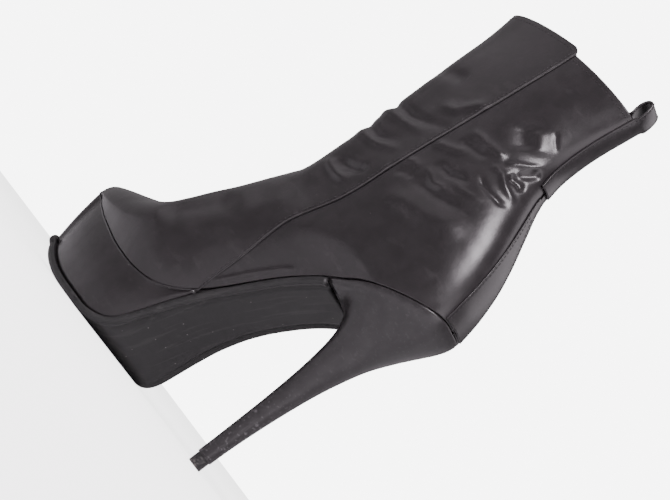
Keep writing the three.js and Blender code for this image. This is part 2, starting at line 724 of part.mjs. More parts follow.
// Covered platform between outsole and upper, its wall leaning out toward the toe
const PLATFORM_START = 0.464;
function platform() {
  const stations = rimStations(PLATFORM_START * SOLE_LENGTH);
  const foot = OUTSOLE + GAP;
  const rings = soleLayer(stations, [{ height: foot, inset: insetCurveAt }]);
  const rim = (share) => rings[0].map((low) => {
    const x = leanForward(low.x);
    const high = new THREE.Vector3(x, low.y, feather(x) - GAP);
    const point = low.clone().lerp(high, share);
    point.y += Math.sign(point.y) * WALL_BULGE * Math.sin(Math.PI * share);
    return point;
  });
  return stack([rings[0], rim(0.33), rim(0.66), rim(1)]);
}

// Outline of the heel's seat as the upper meets it, one side from the back forward, with
// its points crowded toward the back
const SEAT_START = 1;
const SEAT_CROWD_POWER = 1.7;
function seatOutline(side, count) {
  return Array.from({ length: count }, (_, i) => {
    const share = i / (count - 1);
    const x = mix(SEAT_START, BREAST_LENGTH, share ** SEAT_CROWD_POWER);
    return [x, side * (featherHalf(x, side) - PANEL_STEP)];
  });
}

// Covered heel, cut to the feather line at its seat
function heel() {
  const outline = { 1: seatOutline(1, HEEL_HALF_POINTS), [-1]: seatOutline(-1, HEEL_HALF_POINTS) };
  const rows = named(HEEL_COLUMNS, HEEL);
  const ring = (row) => {
    const rear = [row.rear * HEEL_SET_IN, row.rearHeight * SEAT_HEIGHT];
    const stemFront = HEEL_SET_IN + STEM_DEPTH / 2;
    const front = [mix(stemFront, BREAST_LENGTH, row.front), row.frontHeight * SEAT_HEIGHT];
    const half = mix(STEM_WIDTH / 2, SEAT_WIDTH / 2, row.half);
    const oneSide = (side) => outline[side].map(([seatX, seatY], i) => {
      const angle = (Math.PI * i) / (HEEL_HALF_POINTS - 1);
      const along = (1 - Math.cos(angle)) / 2;
      const power = angle > Math.PI / 2 ? STEM_ROUNDNESS.front : STEM_ROUNDNESS.rear;
      const stemY = side * half * Math.max(Math.sin(angle), 0) ** power;
      const seatAlong = (seatX - outline[side][0][0]) / (BREAST_LENGTH - outline[side][0][0]);
      const share = mix(along, seatAlong, row.seat);
      const y = mix(stemY, seatY * (half / (SEAT_WIDTH / 2)), row.seat);
      return new THREE.Vector3(mix(rear[0], front[0], share), y, mix(rear[1], front[1], share));
    });
    const outer = oneSide(1);
    const inner = oneSide(-1).reverse();
    for (const end of [0, HEEL_HALF_POINTS - 1]) {
      outer[end].y = Math.max(outer[end].y, STEM_EDGE);
      inner[end].y = Math.min(inner[end].y, -STEM_EDGE);
    }
    return [...outer, ...inner];
  };
  const body = loft(rows.map(ring));
  const line = sideSteps.map((x) => [x, feather(x) - GAP]);
  const high = SEAT_HEIGHT + REACH;
  const above = sideExtrusion([...line, [line[line.length - 1][0], high], [line[0][0], high]], REACH);
  return body.subtract(above);
}

// Top piece under the stem
function heelTip() {
  const shape = new THREE.Shape();
  const half = STEM_WIDTH / 2 - TIP_STEP;
  const depth = STEM_DEPTH / 2 - TIP_STEP;
  shape.absellipse(0, 0, depth, half, 0, 2 * Math.PI);
  const geometry = new THREE.ExtrudeGeometry(shape, {
    depth: TIP_HEIGHT - GAP,
    bevelEnabled: false,
    curveSegments: 14,
  });
  geometry.translate(HEEL_SET_IN, 0, 0);
  return geometry;
}

// A band whose middle runs along a path in side view. Each path point has its place, the
// outward direction, the half-width, and how deep the band's edges fall at that half-width.
function band(path, thickness) {
  const across = [-1, -0.5, 0, 0.5, 1];
  const rings = path.map(({ x, z, nx, nz, half, fall }) => {
    const at = (share, out) => {
      const lift = out - fall * share * share;
      return new THREE.Vector3(x + nx * lift, share * half, z + nz * lift);
    };
    return [
      ...across.map((share) => at(share, 0)),
      ...[...across].reverse().map((share) => at(share, thickness)),
    ];
  });
  const faces = ringFaces(rings);
  const count = 2 * across.length;
  const top = (rings.length - 1) * count;
  for (let j = 0; j < across.length - 1; j += 1) {
    const [near, far] = [count - 1 - j, count - 2 - j];
    faces.push([j + 1, j, near], [j + 1, near, far]);
    faces.push([top + j, top + j + 1, top + near], [top + near, top + j + 1, top + far]);
  }
  return solid(rings.flat(), faces);
}

// Where the stepped skin's rear edge stands at a height, and how far it falls off at half-width
function backEdge(z) {
  const rows = lastRows.length - 1;
  const first = FOOT.length - 2;
  const s = mix(first, rows, crossing((u) => lastSplines.bz(mix(first, rows, u)) - z));
  const cut = section(s);
  return { s, cut };
}
function bandPoint(z, half, offset) {
  const { s, cut } = backEdge(z);
  const before = section(s - 0.1).b;
  const after = section(s + 0.1).b;
  const along = after.clone().sub(before).normalize();
  const normal = new THREE.Vector3(-along.z, 0, along.x);
  const length = cut.t.distanceTo(cut.b);
  const angle = Math.asin(clamp((half / cut.half[1]) ** (1 / cut.back), 0, 1));
  const fall = (length * (1 - Math.cos(angle))) / 2;
  const out = offset - PANEL_STEP;
  return {
    x: cut.b.x + normal.x * out,
    z: cut.b.z + normal.z * out,
    nx: normal.x,
    nz: normal.z,
    half,
    fall,
  };
}

// Strip up the back of the shaft that folds over into the pull loop and ends inside
function backStrip() {
  const half = STRIP_WIDTH / 2;
  const low = SEAT_HEIGHT + STRIP_START_RISE;
  const stripTop = topLine(COLLAR_BACK);
  const up = [0, 0.16, 0.32, 0.5, 0.68, 0.85, 1]
    .map((share) => bandPoint(mix(low, stripTop, share), half, GAP));
  const top = up[up.length - 1];
  const loop = named(LOOP_COLUMNS, LOOP).map((row) => [
    top.x + row.run * LOOP_RISE,
    stripTop + row.rise * LOOP_RISE,
  ]);
  const inside = [0, 0.5, 1].map((share) => {
    const point = bandPoint(stripTop - share * LOOP_TAIL, half, -WALL - 2 * GAP - STRIP_THICKNESS);
    return { ...point, x: point.x + PANEL_STEP };
  });
  const middle = [[top.x, top.z], ...loop, [inside[0].x, inside[0].z]];
  const over = loop.map(([x, z], i) => {
    const [x0, z0] = middle[i];
    const [x1, z1] = middle[i + 2];
    const length = Math.hypot(x1 - x0, z1 - z0);
    const flat = Math.abs(i - (loop.length - 1) / 2) / loop.length;
    return { x, z, nx: -(z1 - z0) / length, nz: (x1 - x0) / length, half, fall: top.fall * flat };
  });
  const tail = inside.map((point) => ({
    ...point, nx: 1, nz: 0, fall: -point.fall,
  }));
  return band([...up, ...over, ...tail], STRIP_THICKNESS);
}

// Stay over the heel's back seam, from the seat up to a point under the strip
function backStay() {
  const rows = named(STAY_COLUMNS, STAY);
  const low = SEAT_HEIGHT + STAY_START_RISE;
  return band(rows.map((row) => (
    bandPoint(low + row.rise * STAY_RISE, row.half * STAY_WIDTH, GAP)
  )), STAY_THICKNESS);
}

const LEATHER = new THREE.MeshStandardMaterial({ color: 0x2b2729, roughness: 0.42, metalness: 0 });
const SOLE_RUBBER = new THREE.MeshStandardMaterial({ color: 0x161517, roughness: 0.7, metalness: 0 });
const TIP_PLASTIC = new THREE.MeshStandardMaterial({ color: 0x1c1a1a, roughness: 0.6, metalness: 0 });
const LINING = new THREE.MeshStandardMaterial({ color: 0x1f1d1e, roughness: 0.85, metalness: 0 });

function meshFrom(shape, name, material) {
  let geometry = shape;
  if (shape instanceof wasm.Manifold) {
    const data = shape.getMesh();
    geometry = new THREE.BufferGeometry();
    geometry.setAttribute('position', new THREE.BufferAttribute(new Float32Array(data.vertProperties), 3));
    geometry.setIndex(new THREE.BufferAttribute(new Uint32Array(data.triVerts), 1));
    geometry.computeVertexNormals();
  }
  const mesh = new THREE.Mesh(geometry, material);
  mesh.name = name;
  return mesh;
}

const boot = new THREE.Group();
boot.name = 'ankle_boot';
boot.add(
  meshFrom(outsole(), 'outsole', SOLE_RUBBER),
  meshFrom(platform(), 'platform', LEATHER),
  meshFrom(heel(), 'heel', LEATHER),
  meshFrom(heelTip(), 'heel_tip', TIP_PLASTIC),
  meshFrom(insole(), 'insole', LINING),
  meshFrom(upper(), 'upper', LEATHER),
  meshFrom(backStay(), 'back_stay', LEATHER),
  meshFrom(backStrip(), 'back_strip', LEATHER),
);
boot.position.x = -TREAD_CENTRE;

export default boot;
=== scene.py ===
# %% [markdown]
# # A black leather ankle boot, dressed in Blender
#
# The CAD model is a set of faceted solids in metres: outsole, platform, heel, heel tip, insole,
# upper, back stay and back strip. Their shape is right, but their faces show, and leather has
# wrinkles, rolled edges, seams and thread. This lesson rebuilds each piece as a dense, smooth
# mesh in the same place, and then gives each one its own finish.
#
# The first cell loads the solids.

import bisect
import math

import bmesh
import bpy
from mathutils import Matrix, Vector


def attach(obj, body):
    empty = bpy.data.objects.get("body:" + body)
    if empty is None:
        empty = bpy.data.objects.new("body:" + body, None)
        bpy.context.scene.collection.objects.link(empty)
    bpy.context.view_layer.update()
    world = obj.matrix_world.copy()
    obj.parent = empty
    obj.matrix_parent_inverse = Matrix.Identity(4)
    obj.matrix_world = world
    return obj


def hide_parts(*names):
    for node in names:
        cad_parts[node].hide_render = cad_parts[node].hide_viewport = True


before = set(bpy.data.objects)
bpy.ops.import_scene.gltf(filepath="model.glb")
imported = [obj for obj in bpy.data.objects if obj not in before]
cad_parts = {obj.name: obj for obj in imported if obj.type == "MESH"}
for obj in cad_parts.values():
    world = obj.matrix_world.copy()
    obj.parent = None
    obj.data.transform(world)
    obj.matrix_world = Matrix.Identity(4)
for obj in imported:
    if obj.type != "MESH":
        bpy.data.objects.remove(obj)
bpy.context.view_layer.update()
MM = 0.001
print("solids:", sorted(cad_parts))

# %% [markdown]
# ## Curves through a shoemaker's measurements
#
# A last is drawn from few measurements, with smooth lines between them. Two kinds of curve do
# that. One never overshoots its points, so it suits an outline with flat stretches, such as
# the tread. The other passes through whole rows of a table at once, and suits the sections of
# the last, which have to flow from one to the next.

# %% Two kinds of curve
def clamp(value, low, high):
    return min(high, max(low, value))


def mix(a, b, share):
    return a + (b - a) * share


def smooth(t):
    return t * t * (3 - 2 * t)


def curve(points):
    """A curve through (x, y) points with rising x that never overshoots them."""
    xs = [p[0] for p in points]
    ys = [p[1] for p in points]
    slopes = [(ys[i + 1] - ys[i]) / (xs[i + 1] - xs[i]) for i in range(len(xs) - 1)]
    inner = [0 if a * b <= 0 else 2 * a * b / (a + b) for a, b in zip(slopes, slopes[1:])]
    tangents = [slopes[0], *inner, slopes[-1]]

    def at(x):
        i = clamp(bisect.bisect_right(xs, x) - 1, 0, len(xs) - 2)
        step = xs[i + 1] - xs[i]
        t = clamp((x - xs[i]) / step, 0, 1)
        t2, t3 = t * t, t * t * t
        return (
            (2 * t3 - 3 * t2 + 1) * ys[i] + (t3 - 2 * t2 + t) * step * tangents[i]
            + (3 * t2 - 2 * t3) * ys[i + 1] + (t3 - t2) * step * tangents[i + 1]
        )

    return at


def row_spline(rows):
    """A smooth curve through whole rows, counted from 0."""
    def at(s):
        i = clamp(math.floor(s), 0, len(rows) - 2)
        t = s - i
        a, b, c, d = (rows[clamp(i + k, 0, len(rows) - 1)] for k in (-1, 0, 1, 2))
        return [
            q + 0.5 * t * (r - p + t * (2 * p - 5 * q + 4 * r - u + t * (3 * (q - r) + u - p)))
            for p, q, r, u in zip(a, b, c, d)
        ]

    return at


# %% [markdown]
# ## The measurements
#
# All lengths are in millimetres. x runs forward from the back of the heel, and z up from the
# floor. The feather line is where the upper ends underneath. Each row of the last is one
# section: its back or lower end, its front or upper end, its half-width on the outer and the
# inner side, and how round it is at its back and at its crest. An elegant boot like this has
# a steep pitch, so the sections fan round the ankle.

# %% Sizes of the boot
BALL_X = 150
LAST_LENGTH, SOLE_LENGTH, BREAST = 237, 228, 62
SEAT_HEIGHT, BOOT_HEIGHT = 145, 301
SEAT_HALF, SEAT_WIDEST = 27, 28
TOE_SPRING = 12.9
WALL, PANEL_STEP, GAP = 2.2, 0.8, 0.3
OUTSOLE, LIP_ROUND = 4.2, 1.5

FEATHER = [
    (-14.22, 150.59), (0, 145), (14.93, 138.76), (30.1, 131.99), (45.03, 124.36),
    (54.98, 118.66), (62.09, 113.83), (69.91, 106.95), (80.11, 96.41), (90.06, 83.62),
    (100.01, 69.32), (109.97, 55.78), (118.03, 46.96), (126.08, 41.37), (136.04, 38.36),
    (145.99, 37.5), (159.98, 37.89), (172.06, 39.05), (183.91, 40.85), (197.89, 43.05),
    (213.06, 46.27), (226.1, 49.24), (237.0, 51.82), (255.96, 56.85),
]
LAST = [
    (236.76, 49.33, 236.64, 54.56, 3.61, 4.1, 0.4, 0.6),
    (235.58, 45.56, 234.99, 58.46, 7.38, 8.53, 0.4, 0.6),
    (231.07, 42.34, 230.48, 61.68, 12.3, 14.1, 0.4, 0.62),
    (223.25, 38.04, 223.49, 64.41, 17.38, 20.17, 0.4, 0.7),
    (210.22, 32.66, 210.93, 68.8, 24.6, 27.72, 0.4, 0.84),
    (194.1, 28.9, 196.47, 73.97, 31.16, 34.44, 0.4, 0.97),
    (177.04, 26.0, 182.49, 80.2, 36.65, 40.18, 0.4, 1.08),
    (159.98, 25.03, 172.77, 88.49, 40.51, 43.13, 0.4, 1.13),
    (144.1, 25.03, 167.32, 99.12, 42.31, 43.21, 0.4, 1.1),
    (128.93, 28.04, 163.29, 110.43, 41.49, 40.67, 0.42, 1.03),
    (114.0, 36.96, 160.09, 120.38, 38.38, 37.39, 0.45, 1.02),
    (100.01, 52.98, 157.61, 128.47, 35.42, 34.77, 0.5, 0.98),
    (83.9, 72.97, 155.59, 134.51, 33.36, 32.98, 0.55, 0.95),
    (64.94, 89.96, 153.81, 139.15, 32.24, 31.87, 0.6, 0.93),
    (43.13, 100.06, 152.27, 143.3, 31.68, 31.37, 0.62, 0.91),
    (19.91, 108.02, 150.26, 147.62, 31.37, 31.19, 0.62, 0.89),
    (3.55, 124.04, 149.07, 153.43, 31.12, 31.0, 0.62, 0.87),
    (-0.24, 141.02, 147.77, 160.73, 31.0, 30.88, 0.62, 0.86),
    (2.37, 157.01, 146.84, 169.53, 30.81, 30.81, 0.62, 0.85),
    (6.64, 172.14, 146.03, 180.65, 30.26, 30.26, 0.64, 0.85),
    (14.22, 190.24, 145.75, 194.43, 28.89, 28.89, 0.68, 0.85),
    (24.88, 209.43, 145.76, 211.03, 27.03, 27.03, 0.74, 0.85),
    (34.13, 226.12, 146.17, 227.13, 25.42, 25.42, 0.8, 0.85),
    (38.39, 241.25, 146.93, 242.07, 24.1, 24.1, 0.84, 0.85),
    (39.11, 257.32, 148.0, 257.84, 22.85, 22.85, 0.86, 0.85),
    (37.45, 273.39, 149.25, 273.78, 21.45, 21.45, 0.87, 0.85),
    (34.36, 289.46, 151.01, 289.71, 20.12, 20.12, 0.88, 0.85),
    (32.0, 302.56, 152.75, 302.66, 19.42, 19.42, 0.88, 0.85),
    (30.81, 313.48, 154.23, 314.28, 19.11, 19.11, 0.88, 0.85),
]
SIDE_SEAM = [
    (16.0, 109.49), (56.8, 108.55), (89.1, 105.23), (112.8, 104.75), (129.9, 101.44),
    (146.6, 96.46), (162.2, 93.85), (191.8, 92.19), (223.0, 90.3), (260.4, 87.93),
    (301.0, 86.03), (332.2, 84.85),
]
# x, half-widths of the outsole's rim on the outer and inner side, inset of the platform wall
RIM = [
    (56.09, 24.9, 23.41, 0.0), (75.01, 24.46, 20.15, 0.0), (90.06, 24.29, 19.49, 0.0),
    (105.11, 25.52, 23.32, 0.26), (112.18, 28.29, 26.65, 0.78), (119.93, 32.8, 31.16, 1.56),
    (127.68, 36.9, 34.6, 2.34), (135.89, 39.2, 37.72, 2.6), (148.2, 39.52, 41.0, 2.6),
    (165.07, 37.15, 40.59, 2.6), (179.89, 33.78, 36.74, 2.6), (194.94, 28.7, 31.32, 2.6),
    (207.94, 22.63, 25.26, 2.6), (216.6, 17.38, 20.17, 2.6),
]
# Rear face of the platform: share of the sole's length, share of the feather line's height
REAR_FACE = [
    (0.439, 0.884), (0.458, 0.846), (0.476, 0.775), (0.492, 0.65), (0.509, 0.462),
    (0.526, 0.262), (0.546, 0.133), (0.57, 0.055), (0.596, 0.012),
]
TREAD_START, TREAD_END = 0.618, 0.715
TOE_ARC_START, TOE_ARC_POWER = 0.95, 2.4
WALL_LEAN, WALL_BULGE = 10.1, 0.9
OUTSOLE_START = BREAST - 2.5
print("sections of the last:", len(LAST))

# %% [markdown]
# ## Lines of the sole
#
# The outsole is one sheet. It hangs under the waist, turns down the rear face of the platform,
# lies flat at the tread and rises to the toe. In plan its rim is an ordinary sole shape that is
# closed at the toe by a blunt arc.

# %% Lines of the sole, from the side and from below
feather = curve(FEATHER)
SLOPE_STEP = LAST_LENGTH / 900


def slope_of(height, x):
    return (height(x + SLOPE_STEP) - height(x - SLOPE_STEP)) / (2 * SLOPE_STEP)


def waist_point(x):
    rise = slope_of(feather, x)
    slant = math.hypot(rise, 1)
    below = OUTSOLE + GAP
    return x + below * rise / slant, feather(x) - below / slant


rear_top = REAR_FACE[0][0] * SOLE_LENGTH
waist_knots = [waist_point(mix(BREAST, rear_top, mix(-0.15, 0.93, i / 12))) for i in range(13)]
rear_knots = [(x * SOLE_LENGTH, h * feather(x * SOLE_LENGTH)) for x, h in REAR_FACE]
tread_knots = [(TREAD_START * SOLE_LENGTH, 0), (TREAD_END * SOLE_LENGTH, 0)]
spring_knots = [
    (mix(TREAD_END, 1, k) * SOLE_LENGTH, TOE_SPRING * k * k) for k in (0.2, 0.4, 0.6, 0.8, 1, 1.2)
]
sole_bottom = curve(waist_knots + rear_knots + tread_knots + spring_knots)


def sole_normal(x):
    rise = slope_of(sole_bottom, x)
    length = math.hypot(rise, 1)
    return -rise / length, 1 / length


rim_curves = {1: curve([(r[0], r[1]) for r in RIM]), -1: curve([(r[0], r[2]) for r in RIM])}
wall_inset = curve([(r[0], r[3]) for r in RIM])


def rim_half(x, side):
    start = TOE_ARC_START * SOLE_LENGTH
    if x <= start:
        return rim_curves[side](x)
    t = clamp((x - start) / (SOLE_LENGTH - start), 0, 1)
    return rim_curves[side](start) * (1 - t ** TOE_ARC_POWER) ** (1 / TOE_ARC_POWER)


def rim_stations(start, spacing):
    """Stations from start to the toe, closer together where the rim turns at the toe."""
    arc = TOE_ARC_START * SOLE_LENGTH
    straight = round((arc - start) / spacing)
    turn = 28
    run = [mix(start, arc, i / straight) for i in range(straight)]
    return run + [mix(arc, SOLE_LENGTH, 1 - (1 - i / turn) ** 2.1) for i in range(turn + 1)]


def rim_plan(stations, side, inset):
    """Points of the rim in plan on one side, moved inward by inset(x)."""
    run = [(x, rim_half(x, side)) for x in stations]
    moved = []
    for i, (x, y) in enumerate(run):
        before = run[max(i - 1, 0)]
        after = run[i + 1] if i + 1 < len(run) else (x, -0.5)
        dx, dy = after[0] - before[0], after[1] - before[1]
        if i + 1 == len(run):
            dx, dy = 0, -1
        length = math.hypot(dx, dy)
        move = inset(x)
        moved.append((x + dy / length * move, side * max(y - dx / length * move, 0)))
    return moved


foot_tip = rim_plan(rim_stations(OUTSOLE_START, 3), 1, wall_inset)[-1][0]


def lean_forward(x):
    return x + WALL_LEAN * max(0, (x - BALL_X) / (foot_tip - BALL_X))


def wall_top_curve(side):
    stations = rim_stations(OUTSOLE_START, 6)
    points = [(lean_forward(x), abs(y)) for x, y in rim_plan(stations, side, wall_inset)]
    rising = [points[0]]
    for p in points[1:]:
        if p[0] > rising[-1][0] + 0.02:
            rising.append(p)
    return curve(rising)


wall_top = {1: wall_top_curve(1), -1: wall_top_curve(-1)}


def feather_half(x, side):
    """Half-width of the upper's lower edge."""
    if x < SEAT_WIDEST:
        t = clamp((SEAT_WIDEST - x) / SEAT_WIDEST, 0, 1)
        return SEAT_HALF * math.sqrt(1 - t * t)
    if x < BREAST:
        t = (x - SEAT_WIDEST) / (BREAST - SEAT_WIDEST)
        return mix(SEAT_HALF, rim_curves[side](BREAST), smooth(t))
    return wall_top[side](x)


print("sole at the ball:", round(rim_half(BALL_X, 1) + rim_half(BALL_X, -1), 1), "mm wide")

# %% [markdown]
# ## The skin of the last
#
# A section is an oval between its two ends. Where its lower end lies under the feather line it
# is cut there, and drawn in toward the cut, because a boot is narrower at its sole than at its
# widest point. Angle 0 is the back or lower end, and PI is the front or the instep.

# %% Sections of the last
last_at = row_spline(LAST)
seam_x = curve(SIDE_SEAM)


def angle_at(share):
    return math.acos(1 - 2 * share)


def crossing(test):
    """Share of the way at which test first turns positive, or 1."""
    steps = 60
    for i in range(1, steps + 1):
        if test(i / steps) > 0:
            low, high = (i - 1) / steps, i / steps
            for _ in range(24):
                middle = (low + high) / 2
                if test(middle) > 0:
                    high = middle
                else:
                    low = middle
            return high
    return 1


def section(s):
    bx, bz, tx, tz, outer, inner, back, crest = last_at(s)
    half = {1: outer, -1: inner}

    def at(u):
        return mix(bx, tx, u), mix(bz, tz, u)

    def over_feather(u):
        x, z = at(u)
        return z - feather(x)

    def over_seam(u):
        x, z = at(u)
        return x - seam_x(z)

    waist, cut = {1: 0, -1: 0}, 0
    if over_feather(0) < 0:
        cut = crossing(over_feather)
        reach = math.sin(angle_at(cut)) ** back
        for side in (1, -1):
            wanted = feather_half(at(cut)[0], side) / (half[side] * reach)
            waist[side] = (1 - wanted) * clamp((s - 1) / 2, 0, 1) * smooth(clamp(16 - s, 0, 1))
    seam = angle_at(crossing(over_seam)) if over_seam(0) < 0 else 0
    return {
        "ends": (bx, bz, tx, tz), "half": half, "back": back, "crest": crest,
        "waist": waist, "cut": cut, "start": angle_at(cut), "seam": seam,
    }


def skin_point(sec, angle, side):
    bx, bz, tx, tz = sec["ends"]
    power = sec["back"] if angle < math.pi / 2 else sec["crest"]
    share = (1 - math.cos(angle)) / 2
    above = clamp((share - sec["cut"]) / (0.5 - sec["cut"]), 0, 1)
    drawn_in = sec["waist"][side] * math.cos(math.pi / 2 * above) ** 2
    wide = sec["half"][side] * (1 - drawn_in) * max(math.sin(angle), 0) ** power
    return Vector((mix(bx, tx, share) - BALL_X, side * wide, mix(bz, tz, share)))


def arc_points(sec, side, start, end, distances):
    """Points of the skin at shares of the arc from angle start to angle end. distances(length)
    gives them in millimetres from the start."""
    count = 120
    angles = [mix(start, end, (1 - math.cos(math.pi * k / count)) / 2) for k in range(count + 1)]
    points = [skin_point(sec, a, side) for a in angles]
    run = [0]
    for p, q in zip(points, points[1:]):
        run.append(run[-1] + (q - p).length)
    found = []
    for d in distances(run[-1]):
        i = clamp(bisect.bisect_right(run, d) - 1, 0, count - 1)
        t = clamp((d - run[i]) / max(run[i + 1] - run[i], 1e-9), 0, 1)
        found.append(skin_point(sec, mix(angles[i], angles[i + 1], t), side))
    return found


print("shaft at the collar:", [round(v, 1) for v in last_at(27)[:4]])

# %% [markdown]
# ## Relief: creases placed one by one
#
# A worn boot folds where the ankle bends. Each fold is a soft trough or ridge along a few
# points on the skin, with its own width and depth, all in millimetres. The sharp ones gather
# at the back of the ankle, between strip and stay; long shallow ones run round the shin. The
# runs are given on the outer side. A run that starts at the middle of the front goes on round
# the inner side, and the others have a weaker and slightly lower twin there. The last two runs
# are no folds: they fill out the front of the shaft and slim the side of the vamp.

# %% Folds as troughs and ridges
FOLD_LINES = [
    # width, depth, points as x, y, z in the part's frame
    (2.0, 1.5, [(-93.5, 22.4, 215.9), (-96.6, 21.0, 218.8), (-100.5, 19.4, 219.0),
                (-107.8, 18.0, 215.2), (-113.4, 15.0, 213.5), (-118.0, 12.2, 212.3)]),
    (1.7, 1.1, [(-96.6, 20.0, 222.6), (-100.1, 17.2, 228.9), (-104.4, 13.7, 234.2),
                (-107.5, 9.3, 241.3)]),
    (2.2, -2.4, [(-101.8, 18.2, 221.5), (-106.0, 16.6, 222.1), (-109.4, 13.7, 222.6),
                 (-113.3, 11.7, 220.2)]),
    (2.4, -1.8, [(-104.6, 16.8, 223.3), (-107.5, 12.2, 230.5), (-109.0, 8.8, 236.9)]),
    (1.6, -1.7, [(-93.8, 23.4, 210.2), (-100.8, 22.4, 207.0), (-106.4, 20.7, 206.3),
                 (-113.6, 18.0, 207.0), (-117.8, 13.7, 209.6)]),
    (1.5, 0.9, [(-90.2, 25.9, 197.1), (-96.3, 25.4, 196.0), (-102.1, 24.2, 197.2),
                (-105.9, 22.6, 198.7), (-110.1, 20.9, 200.9)]),
    (1.8, 1.5, [(-71.2, 27.7, 192.8), (-77.7, 27.9, 190.5), (-84.4, 27.8, 187.7),
                (-88.4, 27.3, 189.1), (-93.2, 26.5, 191.6)]),
    (2.4, -1.8, [(-72.3, 27.1, 197.7), (-79.4, 27.2, 197.6), (-84.8, 26.5, 197.4),
                 (-90.9, 25.3, 200.5), (-97.6, 24.3, 201.4)]),
    (2.6, 1.2, [(-59.5, 26.6, 204.1), (-65.9, 26.2, 207.1), (-73.9, 25.8, 210.0),
                (-81.3, 24.6, 213.7)]),
    (2.6, 1.4, [(-66.0, 24.4, 225.5), (-73.7, 24.0, 224.9), (-82.3, 22.8, 225.1),
                (-90.4, 21.2, 225.8), (-95.5, 19.4, 226.7)]),
    (2.6, -1.4, [(-68.0, 25.3, 214.9), (-74.2, 24.9, 217.0), (-81.7, 24.0, 217.9),
                 (-89.9, 22.5, 218.6)]),
    (6.5, 1.5, [(-66.9, 29.4, 162.1), (-82.1, 29.7, 168.6), (-96.5, 28.2, 171.9),
                (-109.9, 25.9, 175.9), (-123.7, 21.8, 179.4)]),
    (3.2, -1.3, [(-71.6, 28.6, 181.7), (-81.1, 28.7, 182.7), (-91.5, 27.5, 183.5),
                 (-101.1, 26.2, 186.3), (-110.4, 23.9, 187.6)]),
    (1.5, -0.7, [(-107.3, 24.6, 188.0), (-110.2, 23.7, 188.7), (-113.2, 22.9, 189.1)]),
    (1.3, -1.0, [(-95.8, 15.4, 258.1), (-100.7, 13.6, 253.5), (-105.1, 10.4, 249.7)]),
    (6.0, -1.5, [(-82.1, 20.2, 249.0), (-89.6, 19.1, 242.8), (-96.6, 17.0, 237.0)]),
    (4.5, 1.0, [(-89.7, 18.2, 251.5), (-96.1, 16.2, 246.2), (-102.9, 13.5, 240.3)]),
    (2.2, 1.0, [(-58.1, 28.2, 185.6), (-63.8, 27.9, 189.3), (-71.2, 28.1, 187.9)]),
    (2.2, -0.9, [(-60.8, 28.7, 178.3), (-67.4, 28.5, 181.8), (-74.4, 28.6, 181.7)]),
    (3.0, -1.5, [(-4.4, 0.0, 206.0), (-10.5, 13.5, 207.5), (-20.2, 19.5, 209.0),
                 (-30.3, 23.0, 207.8), (-43.7, 25.5, 210.9), (-55.4, 26.4, 214.9),
                 (-60.9, 25.5, 216.2)]),
    (3.0, 1.2, [(-4.4, 0.0, 199.5), (-12.0, 14.8, 201.0), (-28.0, 22.6, 202.3),
                (-44.1, 26.1, 204.0), (-56.8, 27.1, 206.8)]),
    (2.8, -1.3, [(-4.1, 0.0, 190.5), (-14.3, 16.9, 189.5), (-28.9, 23.7, 186.4),
                 (-38.5, 25.9, 190.9), (-47.6, 27.2, 196.0)]),
    (2.6, 1.0, [(-3.6, 0.0, 182.5), (-20.2, 20.5, 181.9), (-35.3, 25.7, 182.8),
                (-46.1, 27.6, 186.8), (-53.9, 28.3, 188.8)]),
    (3.4, -1.7, [(-26.7, 23.8, 162.2), (-35.3, 26.3, 162.6), (-42.6, 27.9, 164.8),
                 (-50.0, 28.9, 170.2)]),
    (3.0, 1.6, [(-19.6, 21.1, 158.6), (-29.2, 24.8, 155.8), (-37.5, 27.0, 154.9),
                (-47.5, 28.8, 155.9)]),
    (3.4, 1.2, [(-35.5, 23.4, 223.3), (-49.1, 25.0, 226.6), (-55.2, 24.5, 236.1),
                (-61.4, 23.1, 243.2)]),
    (5.0, -1.0, [(-8.0, 12.0, 239.0), (-16.0, 16.5, 240.7), (-25.7, 20.0, 243.3),
                 (-34.0, 22.0, 246.0)]),
    (1.3, 0.4, [(-55.1, 29.5, 172.2), (-55.6, 29.4, 175.5), (-55.3, 29.1, 179.7)]),
    (6.0, 0.5, [(-21.4, 34.5, 97.4), (-26.8, 32.3, 113.3), (-33.7, 29.6, 130.0)]),
    (1.5, 1.2, [(-41.3, 27.0, 60.9), (-44.6, 26.3, 67.4), (-49.1, 26.0, 74.7), (-55.5, 25.8, 84.4),
                (-61.4, 25.4, 92.5), (-68.1, 25.4, 100.6), (-71.8, 25.3, 103.9)]),
    (9.0, -0.7, [(-4.6, 38.3, 83.7), (-18.1, 37.0, 77.9), (-29.6, 33.6, 76.2)]),
    (12.0, 3.2, [(-17.5, 31.0, 113.0), (-20.5, 26.4, 133.4), (-21.1, 23.1, 145.2),
                 (-19.7, 21.1, 160.1), (-20.2, 20.8, 174.9), (-18.0, 18.3, 208.6),
                 (-17.6, 17.5, 235.0), (-14.3, 15.1, 263.1), (-12.5, 13.9, 285.0)]),
    (10.0, -3.0, [(8.5, 41.8, 63.9), (4.8, 40.7, 72.0), (0.7, 39.6, 80.5), (-3.7, 36.8, 89.9),
                  (-7.0, 33.5, 100.4), (-10.2, 31.4, 109.9)]),
]
INNER_SHARE, INNER_DROP, INNER_WIDER, FOLD_FADE = 0.7, 3, 1.15, 0.28
FOLD_REACH = 2.6


def fold(run, width, depth):
    """A fold with the box outside which it has no effect."""
    reach = Vector((1, 1, 1)) * FOLD_REACH * width
    low = Vector([min(p[k] for p in run) for k in range(3)]) - reach
    high = Vector([max(p[k] for p in run) for k in range(3)]) + reach
    return low, high, run, width, depth


def mirrored(points, drop):
    return [Vector((x, -y, z - drop)) for x, y, z in points]


